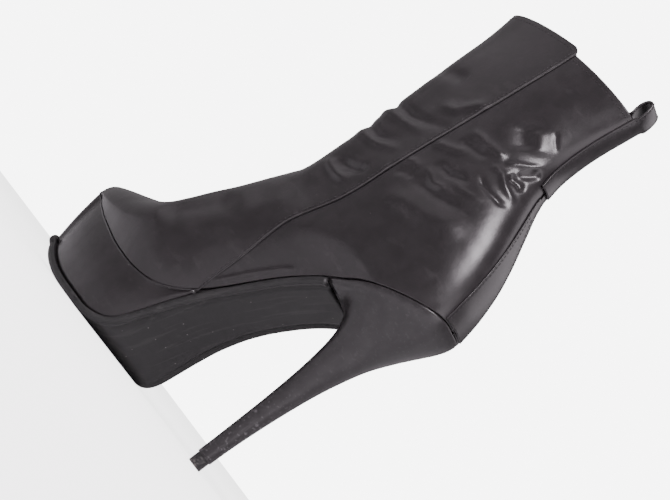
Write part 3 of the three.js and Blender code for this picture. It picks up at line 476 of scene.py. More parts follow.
FOLDS = []
for width, depth, points in FOLD_LINES:
    run = [Vector(p) for p in points]
    if points[0][1] == 0:
        FOLDS.append(fold(mirrored(points[:0:-1], 0) + run, width, depth))
    else:
        FOLDS.append(fold(run, width, depth))
        FOLDS.append(fold(mirrored(points, INNER_DROP), width * INNER_WIDER, depth * INNER_SHARE))
print(len(FOLDS), "folds")


def near_run(point, run):
    """Distance to a run of points, and the share of the run at the nearest place."""
    best, share = 1e9, 0
    for i, (a, b) in enumerate(zip(run, run[1:])):
        along = b - a
        t = clamp((point - a).dot(along) / along.length_squared, 0, 1)
        d = (point - a - along * t).length
        if d < best:
            best, share = d, (i + t) / (len(run) - 1)
    return best, share


def relief(point):
    """Height in millimetres that the folds add to the skin at a point."""
    height = 0
    for low, high, run, width, depth in FOLDS:
        if not (low.x < point.x < high.x and low.y < point.y < high.y and low.z < point.z < high.z):
            continue
        distance, share = near_run(point, run)
        if distance > FOLD_REACH * width:
            continue
        ends = clamp(min(share, 1 - share) / FOLD_FADE, 0, 1)
        height += depth * math.exp(-((distance / width) ** 2)) * smooth(ends)
    return height


# %% [markdown]
# ## Turning measurements into meshes
#
# Every large piece is a grid that is laid over its shape: the grid operator makes the faces,
# and a function says where each point goes. Points that meet are merged, and the leather gets
# its thickness from a Solidify modifier.

# %% Grids laid over a shape
def lay_grid(bm, columns, rows, place):
    """A grid with place(i, j) giving the point of column i and row j, in millimetres."""
    made = bmesh.ops.create_grid(bm, x_segments=columns, y_segments=rows, size=0.5)
    for v in made["verts"]:
        i = round((v.co.x + 0.5) * columns)
        j = round((v.co.y + 0.5) * rows)
        v.co = place(i, j)
    return made["verts"]


MERGE = 0.004


def finish_mesh(bm, name, outward_from=None, merge=MERGE):
    """Merges what meets, sorts out the faces' direction and makes the object, in metres.

    With outward_from all faces are turned over together, or none. The mirrored halves of a
    panel are laid in opposite directions, so one half of it still faces inward.
    """
    bmesh.ops.remove_doubles(bm, verts=bm.verts, dist=merge)
    bmesh.ops.dissolve_degenerate(bm, edges=bm.edges, dist=MERGE / 8)
    bm.normal_update()
    if outward_from is None:
        bmesh.ops.recalc_face_normals(bm, faces=bm.faces)
    else:
        facing = sum(
            f.normal.dot(f.calc_center_median() - outward_from(f.calc_center_median()))
            for f in bm.faces
        )
        if facing < 0:
            bmesh.ops.reverse_faces(bm, faces=bm.faces)
    bmesh.ops.scale(bm, vec=(MM, MM, MM), verts=bm.verts)
    mesh = bpy.data.meshes.new(name)
    bm.to_mesh(mesh)
    bm.free()
    mesh.shade_smooth()
    piece = bpy.data.objects.new(name, mesh)
    bpy.context.scene.collection.objects.link(piece)
    return piece


def thicken(piece, thickness, rim_only=True):
    """Thickness inward. Where a lining hides the inside, only the cut edge gets faces."""
    wall = piece.modifiers.new("thickness", "SOLIDIFY")
    wall.thickness = thickness * MM
    wall.offset = -1
    wall.use_even_offset = False
    wall.use_rim_only = rim_only
    return piece


def triangles(piece):
    evaluated = piece.evaluated_get(bpy.context.evaluated_depsgraph_get())
    return sum(len(p.vertices) - 2 for p in evaluated.data.polygons)


def mount_piece(piece, slot, *nodes):
    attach(piece, "root")
    if nodes:
        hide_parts(*nodes)
    print(piece.name, triangles(piece), "triangles")
    return piece


# %% [markdown]
# ## The two panels of the upper
#
# The front panel runs from the toe over the instep and up the front of the shaft. Its edge is
# turned and sewn over the back panel, which wraps the heel and the calf. So the front panel is
# laid on the skin of the last, and the back panel lies a leather's thickness deeper. Both
# have a rolled edge, made by lowering the last columns of the grid along a quarter circle.

# %% Columns and rows of a panel
EDGE_COLUMNS = [0, 0.1, 0.24, 0.42, 0.64, 0.95, 1.4, 2.0, 2.8]
EDGE_FULL_ARC = 14
ROLL, LEATHER = 0.75, 0.9


def edge_spread(length):
    """Distances of the first columns from a panel's edge."""
    return [d * min(1, length / EDGE_FULL_ARC) for d in EDGE_COLUMNS]


def one_edge(columns):
    def distances(length):
        close = edge_spread(length)
        rest = columns - len(close) + 1
        return close + [mix(close[-1], length, (k + 1) / rest) for k in range(rest)]

    return distances


def roll(distance, depth=ROLL):
    """How far a turned edge has fallen at a distance from it."""
    t = clamp(1 - distance / ROLL, 0, 1)
    return depth * (1 - math.sqrt(1 - t * t))


def seat_crossing():
    """Section at which the back of the last leaves the feather line."""
    low, high = 15, 20
    for _ in range(40):
        middle = (low + high) / 2
        bx, bz = last_at(middle)[:2]
        if bz < feather(bx):
            low = middle
        else:
            high = middle
    return high


def seam_foot():
    """Section at which the side seam starts from the feather line."""
    s = 6
    while section(s)["seam"] <= section(s)["start"]:
        s += 0.02
    return s


SEAT_ROW = seat_crossing()
SEAM_ROW = seam_foot()
TOP_ROW, FREE_ROW = 28, 24
print("seat at section", round(SEAT_ROW, 2), "and side seam from section", round(SEAM_ROW, 2))

# %% [markdown]
# The collar is cut along a gentle line that dips at the front and at the back. The front panel
# ends a little higher than the back panel, with a rounded corner at each side seam.

# %% The collar's line
COLLAR_BACK, SHAFT_DEPTH, SWEEP = 32, 121, 1.6
FRONT_DIP, BACK_DROP, BACK_DIP = 4, 4, 3.5
CORNER_ROUND = 4.5


def collar_height(x, front):
    """Height of the top edge; x is counted from the back of the heel."""
    corner = seam_x(BOOT_HEIGHT)
    if front:
        share = max(0, x - corner) / (COLLAR_BACK + SHAFT_DEPTH - corner)
        return BOOT_HEIGHT - FRONT_DIP * share ** SWEEP
    share = clamp((corner - x) / (corner - COLLAR_BACK), 0, 1.3)
    return BOOT_HEIGHT - BACK_DROP - BACK_DIP * share ** SWEEP


def free_rows(columns_at, heights, count):
    """For each column, its points from FREE_ROW up to where it meets the top edge."""
    fine = [mix(FREE_ROW, TOP_ROW, k / 80) for k in range(81)]
    rings = [columns_at(s) for s in fine]
    columns = []
    for i in range(len(rings[0])):
        run = [ring[i] for ring in rings]
        top = len(run) - 1
        for k in range(1, len(run)):
            if run[k].z >= heights(i, run[k].x + BALL_X):
                low, high = run[k - 1], run[k]
                above = heights(i, high.x + BALL_X)
                top = k - 1 + clamp((above - low.z) / max(high.z - low.z, 1e-6), 0, 1)
                break
        column = []
        for r in range(count + 1):
            t = top * r / count
            k = clamp(math.floor(t), 0, len(run) - 2)
            column.append(run[k].lerp(run[k + 1], t - k))
        columns.append(column)
    return columns


# %% [markdown]
# Above the top edge each column goes on over the edge in a half circle, and a short way down
# inside, where the leather is turned in and sewn. That gives the collar the thickness that one
# sees from above.

# %% A panel from its columns
TURN_STEPS, FACING, FACING_STEPS = 8, 11, 6


def turned_edge(column, outward):
    """Points that carry a column over the top edge and down the inside."""
    top, below = column[-1], column[-4]
    up = (top - below).normalized()
    normal = (outward - up * outward.dot(up)).normalized()
    radius = WALL / 2
    centre = top - normal * radius - up * radius
    points = []
    for k in range(1, TURN_STEPS + 1):
        turn = math.pi * k / TURN_STEPS
        points.append(centre + (normal * math.cos(turn) + up * math.sin(turn)) * radius)
    for k in range(1, FACING_STEPS + 1):
        points.append(points[TURN_STEPS - 1] - up * (FACING * k / FACING_STEPS))
    return points


def skin_normal(lines, i, j):
    """Normal of a sheet of columns at column i and row j."""
    left, right = lines[max(i - 1, 0)][j], lines[min(i + 1, len(lines) - 1)][j]
    low, high = lines[i][max(j - 1, 0)], lines[i][min(j + 1, len(lines[i]) - 1)]
    normal = (right - left).cross(high - low)
    return normal.normalized() if normal.length > 1e-9 else Vector((0, 0, 0))


def smooth_normals(lines, sign):
    rows = range(len(lines[0]))
    found = [[skin_normal(lines, i, j) * sign for j in rows] for i in range(len(lines))]
    for i, column in enumerate(found):
        for j in rows:
            if column[j].length < 0.5:
                column[j] = column[min(j + 1, len(column) - 1)].copy()
    return found


def panel_columns(rows, columns_at, heights, free_count):
    """All points of one half of a panel, as columns from the lowest row to the top edge."""
    lower = [columns_at(s) for s in rows]
    upper = free_rows(columns_at, heights, free_count)
    return [[ring[i] for ring in lower] + upper[i][1:] for i in range(len(lower[0]))]


# %% [markdown]
# ### Front panel
#
# Its grid starts at the toe, with a few shrinking rows that close the tip, and its columns run
# from the lower edge, or from the side seam, over the crest of the foot. The two halves meet
# at the crest.

# %% Front panel
FRONT_COLUMNS_HALF = 96
TIP_ROWS = 6
ROW_STEP = 0.08
front_rows = [k * ROW_STEP for k in range(round(20 / ROW_STEP))]
front_rows += [mix(20, FREE_ROW, k / 50) for k in range(51)]


def front_half(side):
    def columns_at(s):
        sec = section(s)
        return arc_points(sec, side, max(sec["start"], sec["seam"]), math.pi,
                          one_edge(FRONT_COLUMNS_HALF))

    def heights(i, x):
        distance = abs(x - seam_x(BOOT_HEIGHT))
        corner = clamp(1 - distance / CORNER_ROUND, 0, 1)
        fall = CORNER_ROUND * (1 - math.sqrt(1 - corner * corner))
        return collar_height(x, True) - fall

    return panel_columns(front_rows, columns_at, heights, 52)


def along_edge(columns, i, j):
    """Distance of a point from its column's edge, along the row."""
    run = 0
    for k in range(1, i + 1):
        run += (columns[k][j] - columns[k - 1][j]).length
        if run > 6:
            break
    return run


def dress_half(columns, side, base, edges):
    """Offsets a half panel: base depth, rolled edges and folds; then the turned top edge."""
    normals = smooth_normals(columns, -side)
    dressed = []
    for i, column in enumerate(columns):
        moved = []
        for j, point in enumerate(column):
            lift = base - edges(columns, i, j) + relief(point)
            moved.append(point + normals[i][j] * lift)
        dressed.append(moved + turned_edge(moved, normals[i][-1]))
    return dressed


def front_edges(columns, i, j):
    return roll(along_edge(columns, i, j)) if i < len(EDGE_COLUMNS) else 0


def tip_rows(half, side):
    """Rows that shrink toward the middle of the toe's lower edge and close it."""
    first = [column[0] for column in half]
    centre = Vector((first[0].x + 0.2, 0, first[0].z + 0.4))
    rows = []
    for k in range(TIP_ROWS):
        t = k / TIP_ROWS
        size = math.sqrt(1 - (1 - t) ** 2)
        forward = Vector((0.25 * (1 - size * size), 0, 0))
        rows.append([centre.lerp(p, size) + forward for p in first])
    return rows


def build_front_panel():
    bm = bmesh.new()
    for side in (1, -1):
        half = dress_half(front_half(side), side, 0, front_edges)
        tip = tip_rows(half, side)
        lay_grid(
            bm, len(half) - 1, len(half[0]) - 1 + TIP_ROWS,
            lambda i, j: tip[j][i] if j < TIP_ROWS else half[i][j - TIP_ROWS],
        )
    return finish_mesh(bm, "front_panel", panel_axis)


def panel_axis(point):
    """A point inside the boot beside a point of its skin, for pointing faces outward."""
    x = point.x + BALL_X
    if point.z > 150:
        return Vector((95 - BALL_X, 0, point.z))
    return Vector((clamp(x, 30, 200) - BALL_X, 0, feather(x) + 18))


front_panel = build_front_panel()
thicken(front_panel, LEATHER)
mount_piece(front_panel, "upper_leather", "upper")

# %% [markdown]
# ### Back panel
#
# It wraps the heel and the back of the shaft. Above the heel's seat its columns keep their share
# of the way from the side seam to the middle of the back; below, they run beside the seam. Each
# one is trimmed where it meets the seat, and at the collar. So the lower edge stays even where
# the sections leave the seat.

# %% Back panel
BACK_COLUMNS_HALF, BACK_ROWS = 120, 210
UNDERLAP, TUCK, TUCK_WIDTH = 2.2, 0.45, 0.7
back_rings = [mix(SEAM_ROW - 0.2, TOP_ROW, k / 400) for k in range(401)]


def trimmed(path, height_over, top_height, distances):
    """Points at distances along the part of a path between its lower and its upper limit."""
    first, last = 0.0, len(path) - 1.0
    for k in range(len(path) - 1, 0, -1):
        if height_over(path[k - 1]) < 0 <= height_over(path[k]):
            low, high = height_over(path[k - 1]), height_over(path[k])
            first = k - 1 + low / (low - high)
            break
    for k in range(1, len(path)):
        low, high = top_height(path[k - 1]) - path[k - 1].z, top_height(path[k]) - path[k].z
        if low > 0 >= high:
            last = k - 1 + low / (low - high)
            break
    inner = range(math.ceil(first + 1e-6), math.floor(last - 1e-6) + 1)
    places = [first, *inner, last]

    def at(t):
        k = clamp(math.floor(t), 0, len(path) - 2)
        return path[k].lerp(path[k + 1], t - k)

    kept = [at(t) for t in places]
    run = [0]
    for p, q in zip(kept, kept[1:]):
        run.append(run[-1] + (q - p).length)
    found = []
    for d in distances(run[-1]):
        i = clamp(bisect.bisect_right(run, d) - 1, 0, len(kept) - 2)
        t = clamp((d - run[i]) / max(run[i + 1] - run[i], 1e-9), 0, 1)
        found.append(kept[i].lerp(kept[i + 1], t))
    return found


def back_half(side):
    rings = []
    full = []
    seat = section(SEAT_ROW)
    arc_points(seat, side, seat["seam"], 0, lambda length: full.append(length) or [])
    shares = [d / full[0] for d in one_edge(BACK_COLUMNS_HALF)(full[0])]
    for s in back_rings:
        sec = section(s)
        points = arc_points(sec, side, sec["seam"], 0, lambda length: [
            share * (length if s > SEAT_ROW else full[0]) for share in shares
        ])
        past = arc_points(sec, side, sec["seam"], math.pi, lambda length: [min(UNDERLAP, length)])
        rings.append([past[0], *points])
    return [
        trimmed(
            [ring[i] for ring in rings],
            lambda p: p.z - feather(p.x + BALL_X),
            lambda p: collar_height(p.x + BALL_X, False),
            one_edge(BACK_ROWS),
        )
        for i in range(len(rings[0]))
    ]


def back_edges(columns, i, j):
    """The back panel dips under the front panel's edge, and is rolled at the heel's seat."""
    fall = 0
    if i < len(EDGE_COLUMNS) + 1:
        beside = along_edge(columns, i, j) - (columns[1][j] - columns[0][j]).length
        fall += TUCK * math.exp(-((beside / TUCK_WIDTH) ** 2))
    if j < len(EDGE_COLUMNS):
        fall += roll(sum((columns[i][k + 1] - columns[i][k]).length for k in range(j)))
    return fall


def build_back_panel():
    bm = bmesh.new()
    for side in (1, -1):
        half = dress_half(back_half(side), -side, -PANEL_STEP, back_edges)
        lay_grid(bm, len(half) - 1, len(half[0]) - 1, lambda i, j: half[i][j])
    return finish_mesh(bm, "back_panel", panel_axis)


back_panel = build_back_panel()
thicken(back_panel, LEATHER)
mount_piece(back_panel, "upper_leather")

# %% [markdown]
# ### Lining
#
# A thin cloth-backed lining follows the inside of both panels, and takes the same folds. It
# runs from the insole to the turned edge of the collar.

# %% Lining
LINING_COLUMNS_HALF = 56
LINING_DEPTH, LINING_THICKNESS, LINING_TOP = 1.75, 0.3, 9
lining_rows = [2 + k * 0.2 for k in range(76)]
lining_rows += [mix(SEAT_ROW + 0.1, FREE_ROW, k / 50) for k in range(51)]


def lining_half(side):
    def columns_at(s):
        sec = section(s)
        return arc_points(sec, side, sec["start"], math.pi, lambda length: [
            length * k / LINING_COLUMNS_HALF for k in range(LINING_COLUMNS_HALF + 1)
        ])

    def lining_top(i, x):
        return collar_height(x, False) - LINING_TOP

    return panel_columns(lining_rows, columns_at, lining_top, 20)


def build_lining():
    bm = bmesh.new()
    for side in (1, -1):
        columns = lining_half(side)
        normals = smooth_normals(columns, -side)
        half = [
            [p + normals[i][j] * (relief(p) - LINING_DEPTH) for j, p in enumerate(column)]
            for i, column in enumerate(columns)
        ]
        lay_grid(bm, len(half) - 1, len(half[0]) - 1, lambda i, j: half[i][j])
    return finish_mesh(bm, "shaft_lining", panel_axis)


lining = build_lining()
thicken(lining, LINING_THICKNESS, rim_only=False)
mount_piece(lining, "lining")

# %% [markdown]
# ## The sole
#
# The outsole is thin rubber with a rounded lip. It is laid as a grid too: each row is a slice
# across the sole, which runs over the underside, round one lip, back over the top and round
# the other lip. Toward the toe the slices shrink to a point. Along the waist a shallow groove
# sets the lip apart.

# %% Outsole
ACROSS = 22
lip_turns = [math.radians(a) for a in (-90, -72, -54, -36, -18, 0, 20, 42, 64, 82)]
# inset from the rim, height over the underside and depth of the waist's groove, from below
# round the lip to the top
LIP = [(6.4, 0, 0), (5.4, 0, 0.5), (4.6, 0, 1.2), (3.9, 0, 1.3), (3.4, 0, 0.7), (3.0, 0, 0)] + [
    (LIP_ROUND * (1 - math.cos(a)) * (1 if a < 0 else 0.6), OUTSOLE * (1 + math.sin(a)) / 2, 0)
    for a in lip_turns
] + [(2.4, OUTSOLE, 0)]
GROOVE_END, GROOVE_FADE = 128, 25
GROOVE_DEEPER, DEEPER_FROM, DEEPER_FADE = 0.35, 95, 35
LIP_END = 3
STATION_STEP = 1.3


def on_sheet(x, y, height):
    """Point of the outsole at a height over its underside."""
    nx, nz = sole_normal(x)
    return Vector((x + nx * height - BALL_X, y, sole_bottom(x) + nz * height))


def end_round(x):
    """The lip runs out softly at the heel's breast."""
    return 1.0 - smooth(clamp((x - OUTSOLE_START) / LIP_END, 0, 1))


def sole_slices(stations):
    """Closed slices: across the underside, round one lip, back over the top, round the other."""
    plans = {
        side: [rim_plan(stations, side, lambda x, k=entry[0]: k + end_round(x)) for entry in LIP]
        for side in (1, -1)
    }
    slices = []
    for i, x in enumerate(stations):
        deeper = GROOVE_DEEPER * smooth(clamp((DEEPER_FROM - x) / DEEPER_FADE, 0, 1))
        waist = smooth(clamp((GROOVE_END - x) / GROOVE_FADE, 0, 1)) * (1 + deeper)
        near, far = (
            [(*plan[i], height + groove * waist)
             for plan, (_, height, groove) in zip(plans[side], LIP)]
            for side in (1, -1)
        )
        steps = [k / ACROSS for k in range(1, ACROSS)]
        under = [[mix(a, b, k) for a, b in zip(far[0], near[0])] for k in steps]
        over = [[mix(a, b, k) for a, b in zip(near[-1], far[-1])] for k in steps]
        ring = under + near + over + far[::-1] + under[:1]
        slices.append([on_sheet(*p) for p in ring])
    return slices


def closed_piece(name, slices):
    """A closed skin over slices, with its two ends filled."""
    bm = bmesh.new()
    lay_grid(bm, len(slices[0]) - 1, len(slices) - 1, lambda i, j: slices[j][i])
    bmesh.ops.remove_doubles(bm, verts=bm.verts, dist=MERGE)
    bmesh.ops.holes_fill(bm, edges=[e for e in bm.edges if e.is_boundary], sides=0)
    return finish_mesh(bm, name)


outsole = closed_piece("rubber_outsole", sole_slices(rim_stations(OUTSOLE_START, STATION_STEP)))
mount_piece(outsole, "outsole", "outsole")

# %% [markdown]
# ## Covered platform
#
# The block between sole and upper is covered with the upper's leather. Its wall leans out
# toward the toe. The wall's top edge is rolled under the upper's edge, so that the joint shows
# as a fine dark line.

# %% Platform cover
PLATFORM_START = 0.464 * SOLE_LENGTH
WALL_ROWS = 22
TOP_ROLL, WALL_CLEARANCE, TOP_CLEARANCE, ROWS_CROWD = 0.6, 0.1, 0.12, 1.6
STRIPS_ACROSS = 6


def platform_run():
    """Foot of the wall, from the rear on the outer side round the toe to the rear again."""
    stations = rim_stations(PLATFORM_START, STATION_STEP)
    run = []
    for side in (1, -1):
        half = []
        for x, y in rim_plan(stations, side, wall_inset):
            nx, nz = sole_normal(x)
            height = OUTSOLE + WALL_CLEARANCE
            half.append(Vector((x + nx * height, y, sole_bottom(x) + nz * height)))
        run += half if side > 0 else half[-2::-1]
    return run


def platform_columns():
    run = platform_run()
    columns = []
    for i, low in enumerate(run):
        before, after = run[max(i - 1, 0)], run[min(i + 1, len(run) - 1)]
        along = Vector((after.x - before.x, after.y - before.y, 0)).normalized()
        outward = Vector((along.y, -along.x, 0))
        lean = lean_forward(low.x)
        high = Vector((lean, low.y, feather(lean) - TOP_CLEARANCE))
        tall = (high - low).length
        column = []
        for k in range(WALL_ROWS + 1):
            share = 1 - (1 - k / WALL_ROWS) ** ROWS_CROWD
            point = low.lerp(high, share)
            fall = roll(tall * (1 - share) * ROLL / TOP_ROLL, TOP_ROLL)
            bulge = WALL_BULGE * math.sin(math.pi * share) * clamp(abs(low.y) / 4, 0, 1)
            point -= outward * fall
            point.y += math.copysign(bulge, low.y) if abs(low.y) > 0.01 else 0
            point.x -= BALL_X
            column.append(point)
        columns.append(column)
    return columns


def build_platform():
    columns = platform_columns()
    bm = bmesh.new()
    lay_grid(bm, len(columns) - 1, WALL_ROWS, lambda i, j: columns[i][j])
    bmesh.ops.remove_doubles(bm, verts=bm.verts, dist=MERGE)
    return bm, columns


def close_across(bm, columns):
    """Closes the block below, above and at the rear with strips from side to side."""
    half = (len(columns) - 1) // 2
    steps = len(columns) - 1
    for row in (0, WALL_ROWS):
        edge = [columns[i][row] for i in range(half + 1)]
        far = [columns[steps - i][row] for i in range(half + 1)]
        lay_grid(bm, STRIPS_ACROSS, half, lambda i, j: edge[j].lerp(far[j], i / STRIPS_ACROSS))
    lay_grid(
        bm, STRIPS_ACROSS, WALL_ROWS,
        lambda i, j: columns[0][j].lerp(columns[steps][j], i / STRIPS_ACROSS),
    )


bm_platform, platform_lines = build_platform()
close_across(bm_platform, platform_lines)
platform = finish_mesh(bm_platform, "platform_cover")
mount_piece(platform, "upper_leather", "platform")

# %% [markdown]
# ## Covered heel
#
# The heel is a plastic core with leather glued round it. Below it is a slim oval stem, and
# above it flares into the seat. Each ring of the table is a tilted oval; a smooth curve through
# the table gives as many rings as the surface needs. The breast, its front face, is hollow.

# %% Heel
HEEL_SET_IN, STEM_HALF, STEM_DEPTH = 35.5, 4.6, 9.0
HEEL = [
    (0.866, 0.0455, 0.0, 0.0455, 0.0, 0.0), (0.858, 0.12, -0.005, 0.12, 0.01, 0.0),
    (0.832, 0.22, -0.006, 0.22, 0.035, 0.0), (0.782, 0.345, -0.002, 0.345, 0.075, 0.0),
    (0.706, 0.48, 0.022, 0.474, 0.135, 0.0), (0.615, 0.59, 0.065, 0.576, 0.22, 0.0),
    (0.5, 0.69, 0.14, 0.66, 0.325, 0.0), (0.35, 0.775, 0.275, 0.718, 0.46, 0.08),
    (0.215, 0.84, 0.455, 0.749, 0.575, 0.25), (0.118, 0.893, 0.66, 0.7655, 0.725, 0.5),
    (0.052, 0.94, 0.845, 0.7745, 0.885, 0.78), (0.016, 0.985, 0.965, 0.78, 0.98, 0.96),
    (0.01, 1.06, 1.0, 0.83, 1.0, 1.0),
]
HEEL_HALF, HEEL_FRONT, HEEL_RINGS = 36, 8, 150
SEAT_CROWD, BREAST_HOLLOW = 1.9, 2.6
SEAT_ROLL, SEAT_ROLL_DEPTH = 1.5, 0.5
heel_at = row_spline(HEEL)


def seat_outline(side):
    """The heel's outline where it meets the upper, flush with the back panel's lower edge."""
    edge = []
    for k in range(200):
        s = SEAT_ROW - (SEAT_ROW - 14) * (1 - k / 200) ** 2
        sec = section(s)
        p = skin_point(sec, sec["start"], side)
        edge.append((p.x + BALL_X, abs(p.y)))
    if edge[0][0] > edge[-1][0]:
        edge.reverse()
    tangents = []
    for k, p in enumerate(edge):
        a, b = edge[max(k - 1, 0)], edge[min(k + 1, len(edge) - 1)]
        length = math.hypot(b[0] - a[0], b[1] - a[1])
        tangents.append((p[0] + (b[1] - a[1]) / length * PANEL_STEP,
                         p[1] - (b[0] - a[0]) / length * PANEL_STEP))
    rising = [(tangents[0][0], 0)]
    for p in tangents:
        if p[0] > rising[-1][0] + 0.002 and p[1] > rising[-1][1] - 1:
            rising.append(p)
    at = curve(rising)
    shares = [k / (HEEL_HALF - 1) for k in range(HEEL_HALF)]
    xs = [mix(rising[0][0], BREAST, share ** SEAT_CROWD) for share in shares]
    return [(x, side * max(at(x), 0)) for x in xs]


seat_lines = {1: seat_outline(1), -1: seat_outline(-1)}


def heel_ring(r):
    """Points of one ring: outer side from back to front, across the breast, inner side back."""
    rear, rear_height, front, front_height, half_share, seat_share = heel_at(r)
    back = Vector((rear * HEEL_SET_IN, 0, rear_height * SEAT_HEIGHT))
    stem_front = HEEL_SET_IN + STEM_DEPTH / 2
    tip = Vector((mix(stem_front, BREAST, front), 0, front_height * SEAT_HEIGHT))
    half = mix(STEM_HALF, SEAT_HALF, half_share)
    sides = []
    for side in (1, -1):
        outline = seat_lines[side]
        run = []
        for k, (seat_x, seat_y) in enumerate(outline):
            angle = math.pi * k / (HEEL_HALF - 1)
            power = 0.6 if angle > math.pi / 2 else 0.95
            stem_y = side * half * max(math.sin(angle), 0) ** power
            seat_along = (seat_x - outline[0][0]) / (BREAST - outline[0][0])
            share = mix((1 - math.cos(angle)) / 2, seat_along, seat_share)
            point = back.lerp(tip, share)
            point.y = mix(stem_y, seat_y * half / SEAT_HALF, seat_share)
            run.append(point)
        run[0].y = 0
        sides.append(run)
    near, far = sides[0][-1], sides[1][-1]
    hollow = BREAST_HOLLOW * clamp(half_share * 1.6, 0, 1)
    front_run = []
    for k in range(1, HEEL_FRONT):
        across = k / HEEL_FRONT
        point = near.lerp(far, across)
        point.x -= hollow * math.sin(math.pi * across) * clamp(abs(near.y - far.y) / 14, 0, 1)
        front_run.append(point)
    return sides[0] + front_run + sides[1][::-1]


def heel_columns():
    """Columns of the heel from its tip up to the joint with the upper, just under the feather."""
    last_ring = len(HEEL) - 1
    rings = [heel_ring(last_ring * k / 400) for k in range(401)]
    columns = []
    for i in range(len(rings[0])):
        run = [ring[i] for ring in rings]
        top = len(run) - 1
        for k in range(1, len(run)):
            gap = run[k].z - feather(run[k].x) + GAP * 0.6
            if gap >= 0:
                low = run[k - 1].z - feather(run[k - 1].x) + GAP * 0.6
                top = k - 1 + clamp(-low / max(gap - low, 1e-6), 0, 1)
                break
        column = []
        for r in range(HEEL_RINGS + 1):
            t = top * r / HEEL_RINGS
            k = clamp(math.floor(t), 0, len(run) - 2)
            column.append(run[k].lerp(run[k + 1], t - k))
        columns.append([p - Vector((BALL_X, 0, 0)) for p in column])
    return columns


def build_heel():
    columns = heel_columns()
    columns.append(columns[0])
    normals = smooth_normals(columns, -1)
    for i, column in enumerate(columns[:-1]):
        length = 0
        for j in range(len(column) - 1, 0, -1):
            column[j] = column[j] - normals[i][j] * roll(
                length * ROLL / SEAT_ROLL_DEPTH, SEAT_ROLL_DEPTH
            )
            length += (column[j] - column[j - 1]).length
            if length > SEAT_ROLL:
                break
    return closed_piece("heel_cover", list(zip(*columns)))


heel = build_heel()
mount_piece(heel, "heel_leather", "heel")

# %% [markdown]
# ### Heel tip
#
# The top piece is a turned plastic plug, a little smaller than the stem. A cone with equal
# ends makes the plug, and a bevel rounds its worn edge.

# %% Heel tip
TIP_HALF_X, TIP_HALF_Y, TIP_BEVEL = 4.15, 4.25, 0.45
TIP_INTO_STEM = 0.5
TIP_HEIGHT = min(v.co.z for v in heel.data.vertices) / MM + TIP_INTO_STEM
print(f"heel tip: {TIP_HEIGHT:.2f} mm high")
bm = bmesh.new()
bmesh.ops.create_cone(bm, cap_ends=True, segments=48, radius1=1, radius2=1, depth=1)
bmesh.ops.scale(bm, vec=(TIP_HALF_X, TIP_HALF_Y, TIP_HEIGHT), verts=bm.verts)
bmesh.ops.translate(bm, vec=(HEEL_SET_IN - BALL_X, 0, TIP_HEIGHT / 2), verts=bm.verts)
tip_edges = [e for e in bm.edges if abs(e.verts[0].co.z - e.verts[1].co.z) < 0.01]
bmesh.ops.bevel(bm, geom=tip_edges, offset=TIP_BEVEL, offset_type="OFFSET", affect="EDGES",
                segments=4, profile=0.5, material=-1)
heel_tip = finish_mesh(bm, "heel_top_piece")
mount_piece(heel_tip, "heel_tip", "heel_tip")

# %% [markdown]
# ## Insole
#
# Inside lies a thin sock over the insole board, a little raised at its middle.

# %% Insole sock
SOCK_START, SOCK_END, SOCK_LIFT, SOCK_MARGIN = 2.6, 231, 2.3, 2.7
SOCK_CROWN, SOCK_THICKNESS = 0.9, 1.6
SOCK_COLUMNS, SOCK_ROWS = 24, 120


def sock_point(i, j):
    x = mix(SOCK_START, SOCK_END, 0.5 - 0.5 * math.cos(math.pi * j / SOCK_ROWS))
    across = 2 * i / SOCK_COLUMNS - 1
    side = 1 if across >= 0 else -1
    half = max(feather_half(x, side) - SOCK_MARGIN, 0.05)
    crown = SOCK_CROWN * (1 - across * across)
    return Vector((x - BALL_X, across * half, feather(x) + SOCK_LIFT + crown))


bm = bmesh.new()
lay_grid(bm, SOCK_COLUMNS, SOCK_ROWS, sock_point)
sock = finish_mesh(bm, "insole_sock", lambda p: p - Vector((0, 0, 1)))
thicken(sock, SOCK_THICKNESS, rim_only=False)
mount_piece(sock, "lining", "insole")

# %% [markdown]
# ## Stay and pull strip at the back
#
# A tapered stay covers the heel's back seam. Above it a strip runs up the shaft, folds over the
# collar into a pull loop and ends inside. Both are bands that lie on the skin: each place on
# their path has a position, an outward direction, a half-width, and the depth by which the
# curved skin falls away under the band's edges.

# %% Bands on the back of the boot
STRIP_HALF, STRIP_THICKNESS, STRIP_START = 6.25, 1.4, 233
LOOP_RISE, LOOP_TAIL = 14, 11
LOOP = [(-0.03, 0.18), (-0.02, 0.48), (0.05, 0.76), (0.17, 0.95), (0.3, 0.95), (0.42, 0.78),
        (0.46, 0.5), (0.44, 0.2)]
STAY_HALF, STAY_RISE, STAY_THICKNESS, STAY_START = 12, 83, 0.8, 146
STAY = [(0.0, 1.0), (0.17, 0.94), (0.35, 0.81), (0.5, 0.66), (0.65, 0.47), (0.8, 0.29),
        (0.92, 0.14), (1.0, 0.06)]
BAND_ACROSS = 12


def back_row(z):
    """Section whose back end is at a height."""
    low, high = 16.0, float(len(LAST) - 1)
    for _ in range(40):
        middle = (low + high) / 2
        if last_at(middle)[1] < z:
            low = middle
        else:
            high = middle
    return high


def band_point(z, half, offset):
    """(position, outward direction, half-width, fall of the skin at that half-width)."""
    s = back_row(z)
    sec = section(s)
    before, after = last_at(s - 0.1), last_at(s + 0.1)
    along = Vector((after[0] - before[0], 0, after[1] - before[1])).normalized()
    normal = Vector((-along.z, 0, along.x))
    bx, bz, tx, tz = sec["ends"]
    length = math.hypot(tx - bx, tz - bz)
    angle = math.asin(clamp((half / sec["half"][1]) ** (1 / sec["back"]), 0, 1))
    place = Vector((bx - BALL_X, 0, bz)) + normal * (offset - PANEL_STEP)
    return place, normal, half, length * (1 - math.cos(angle)) / 2


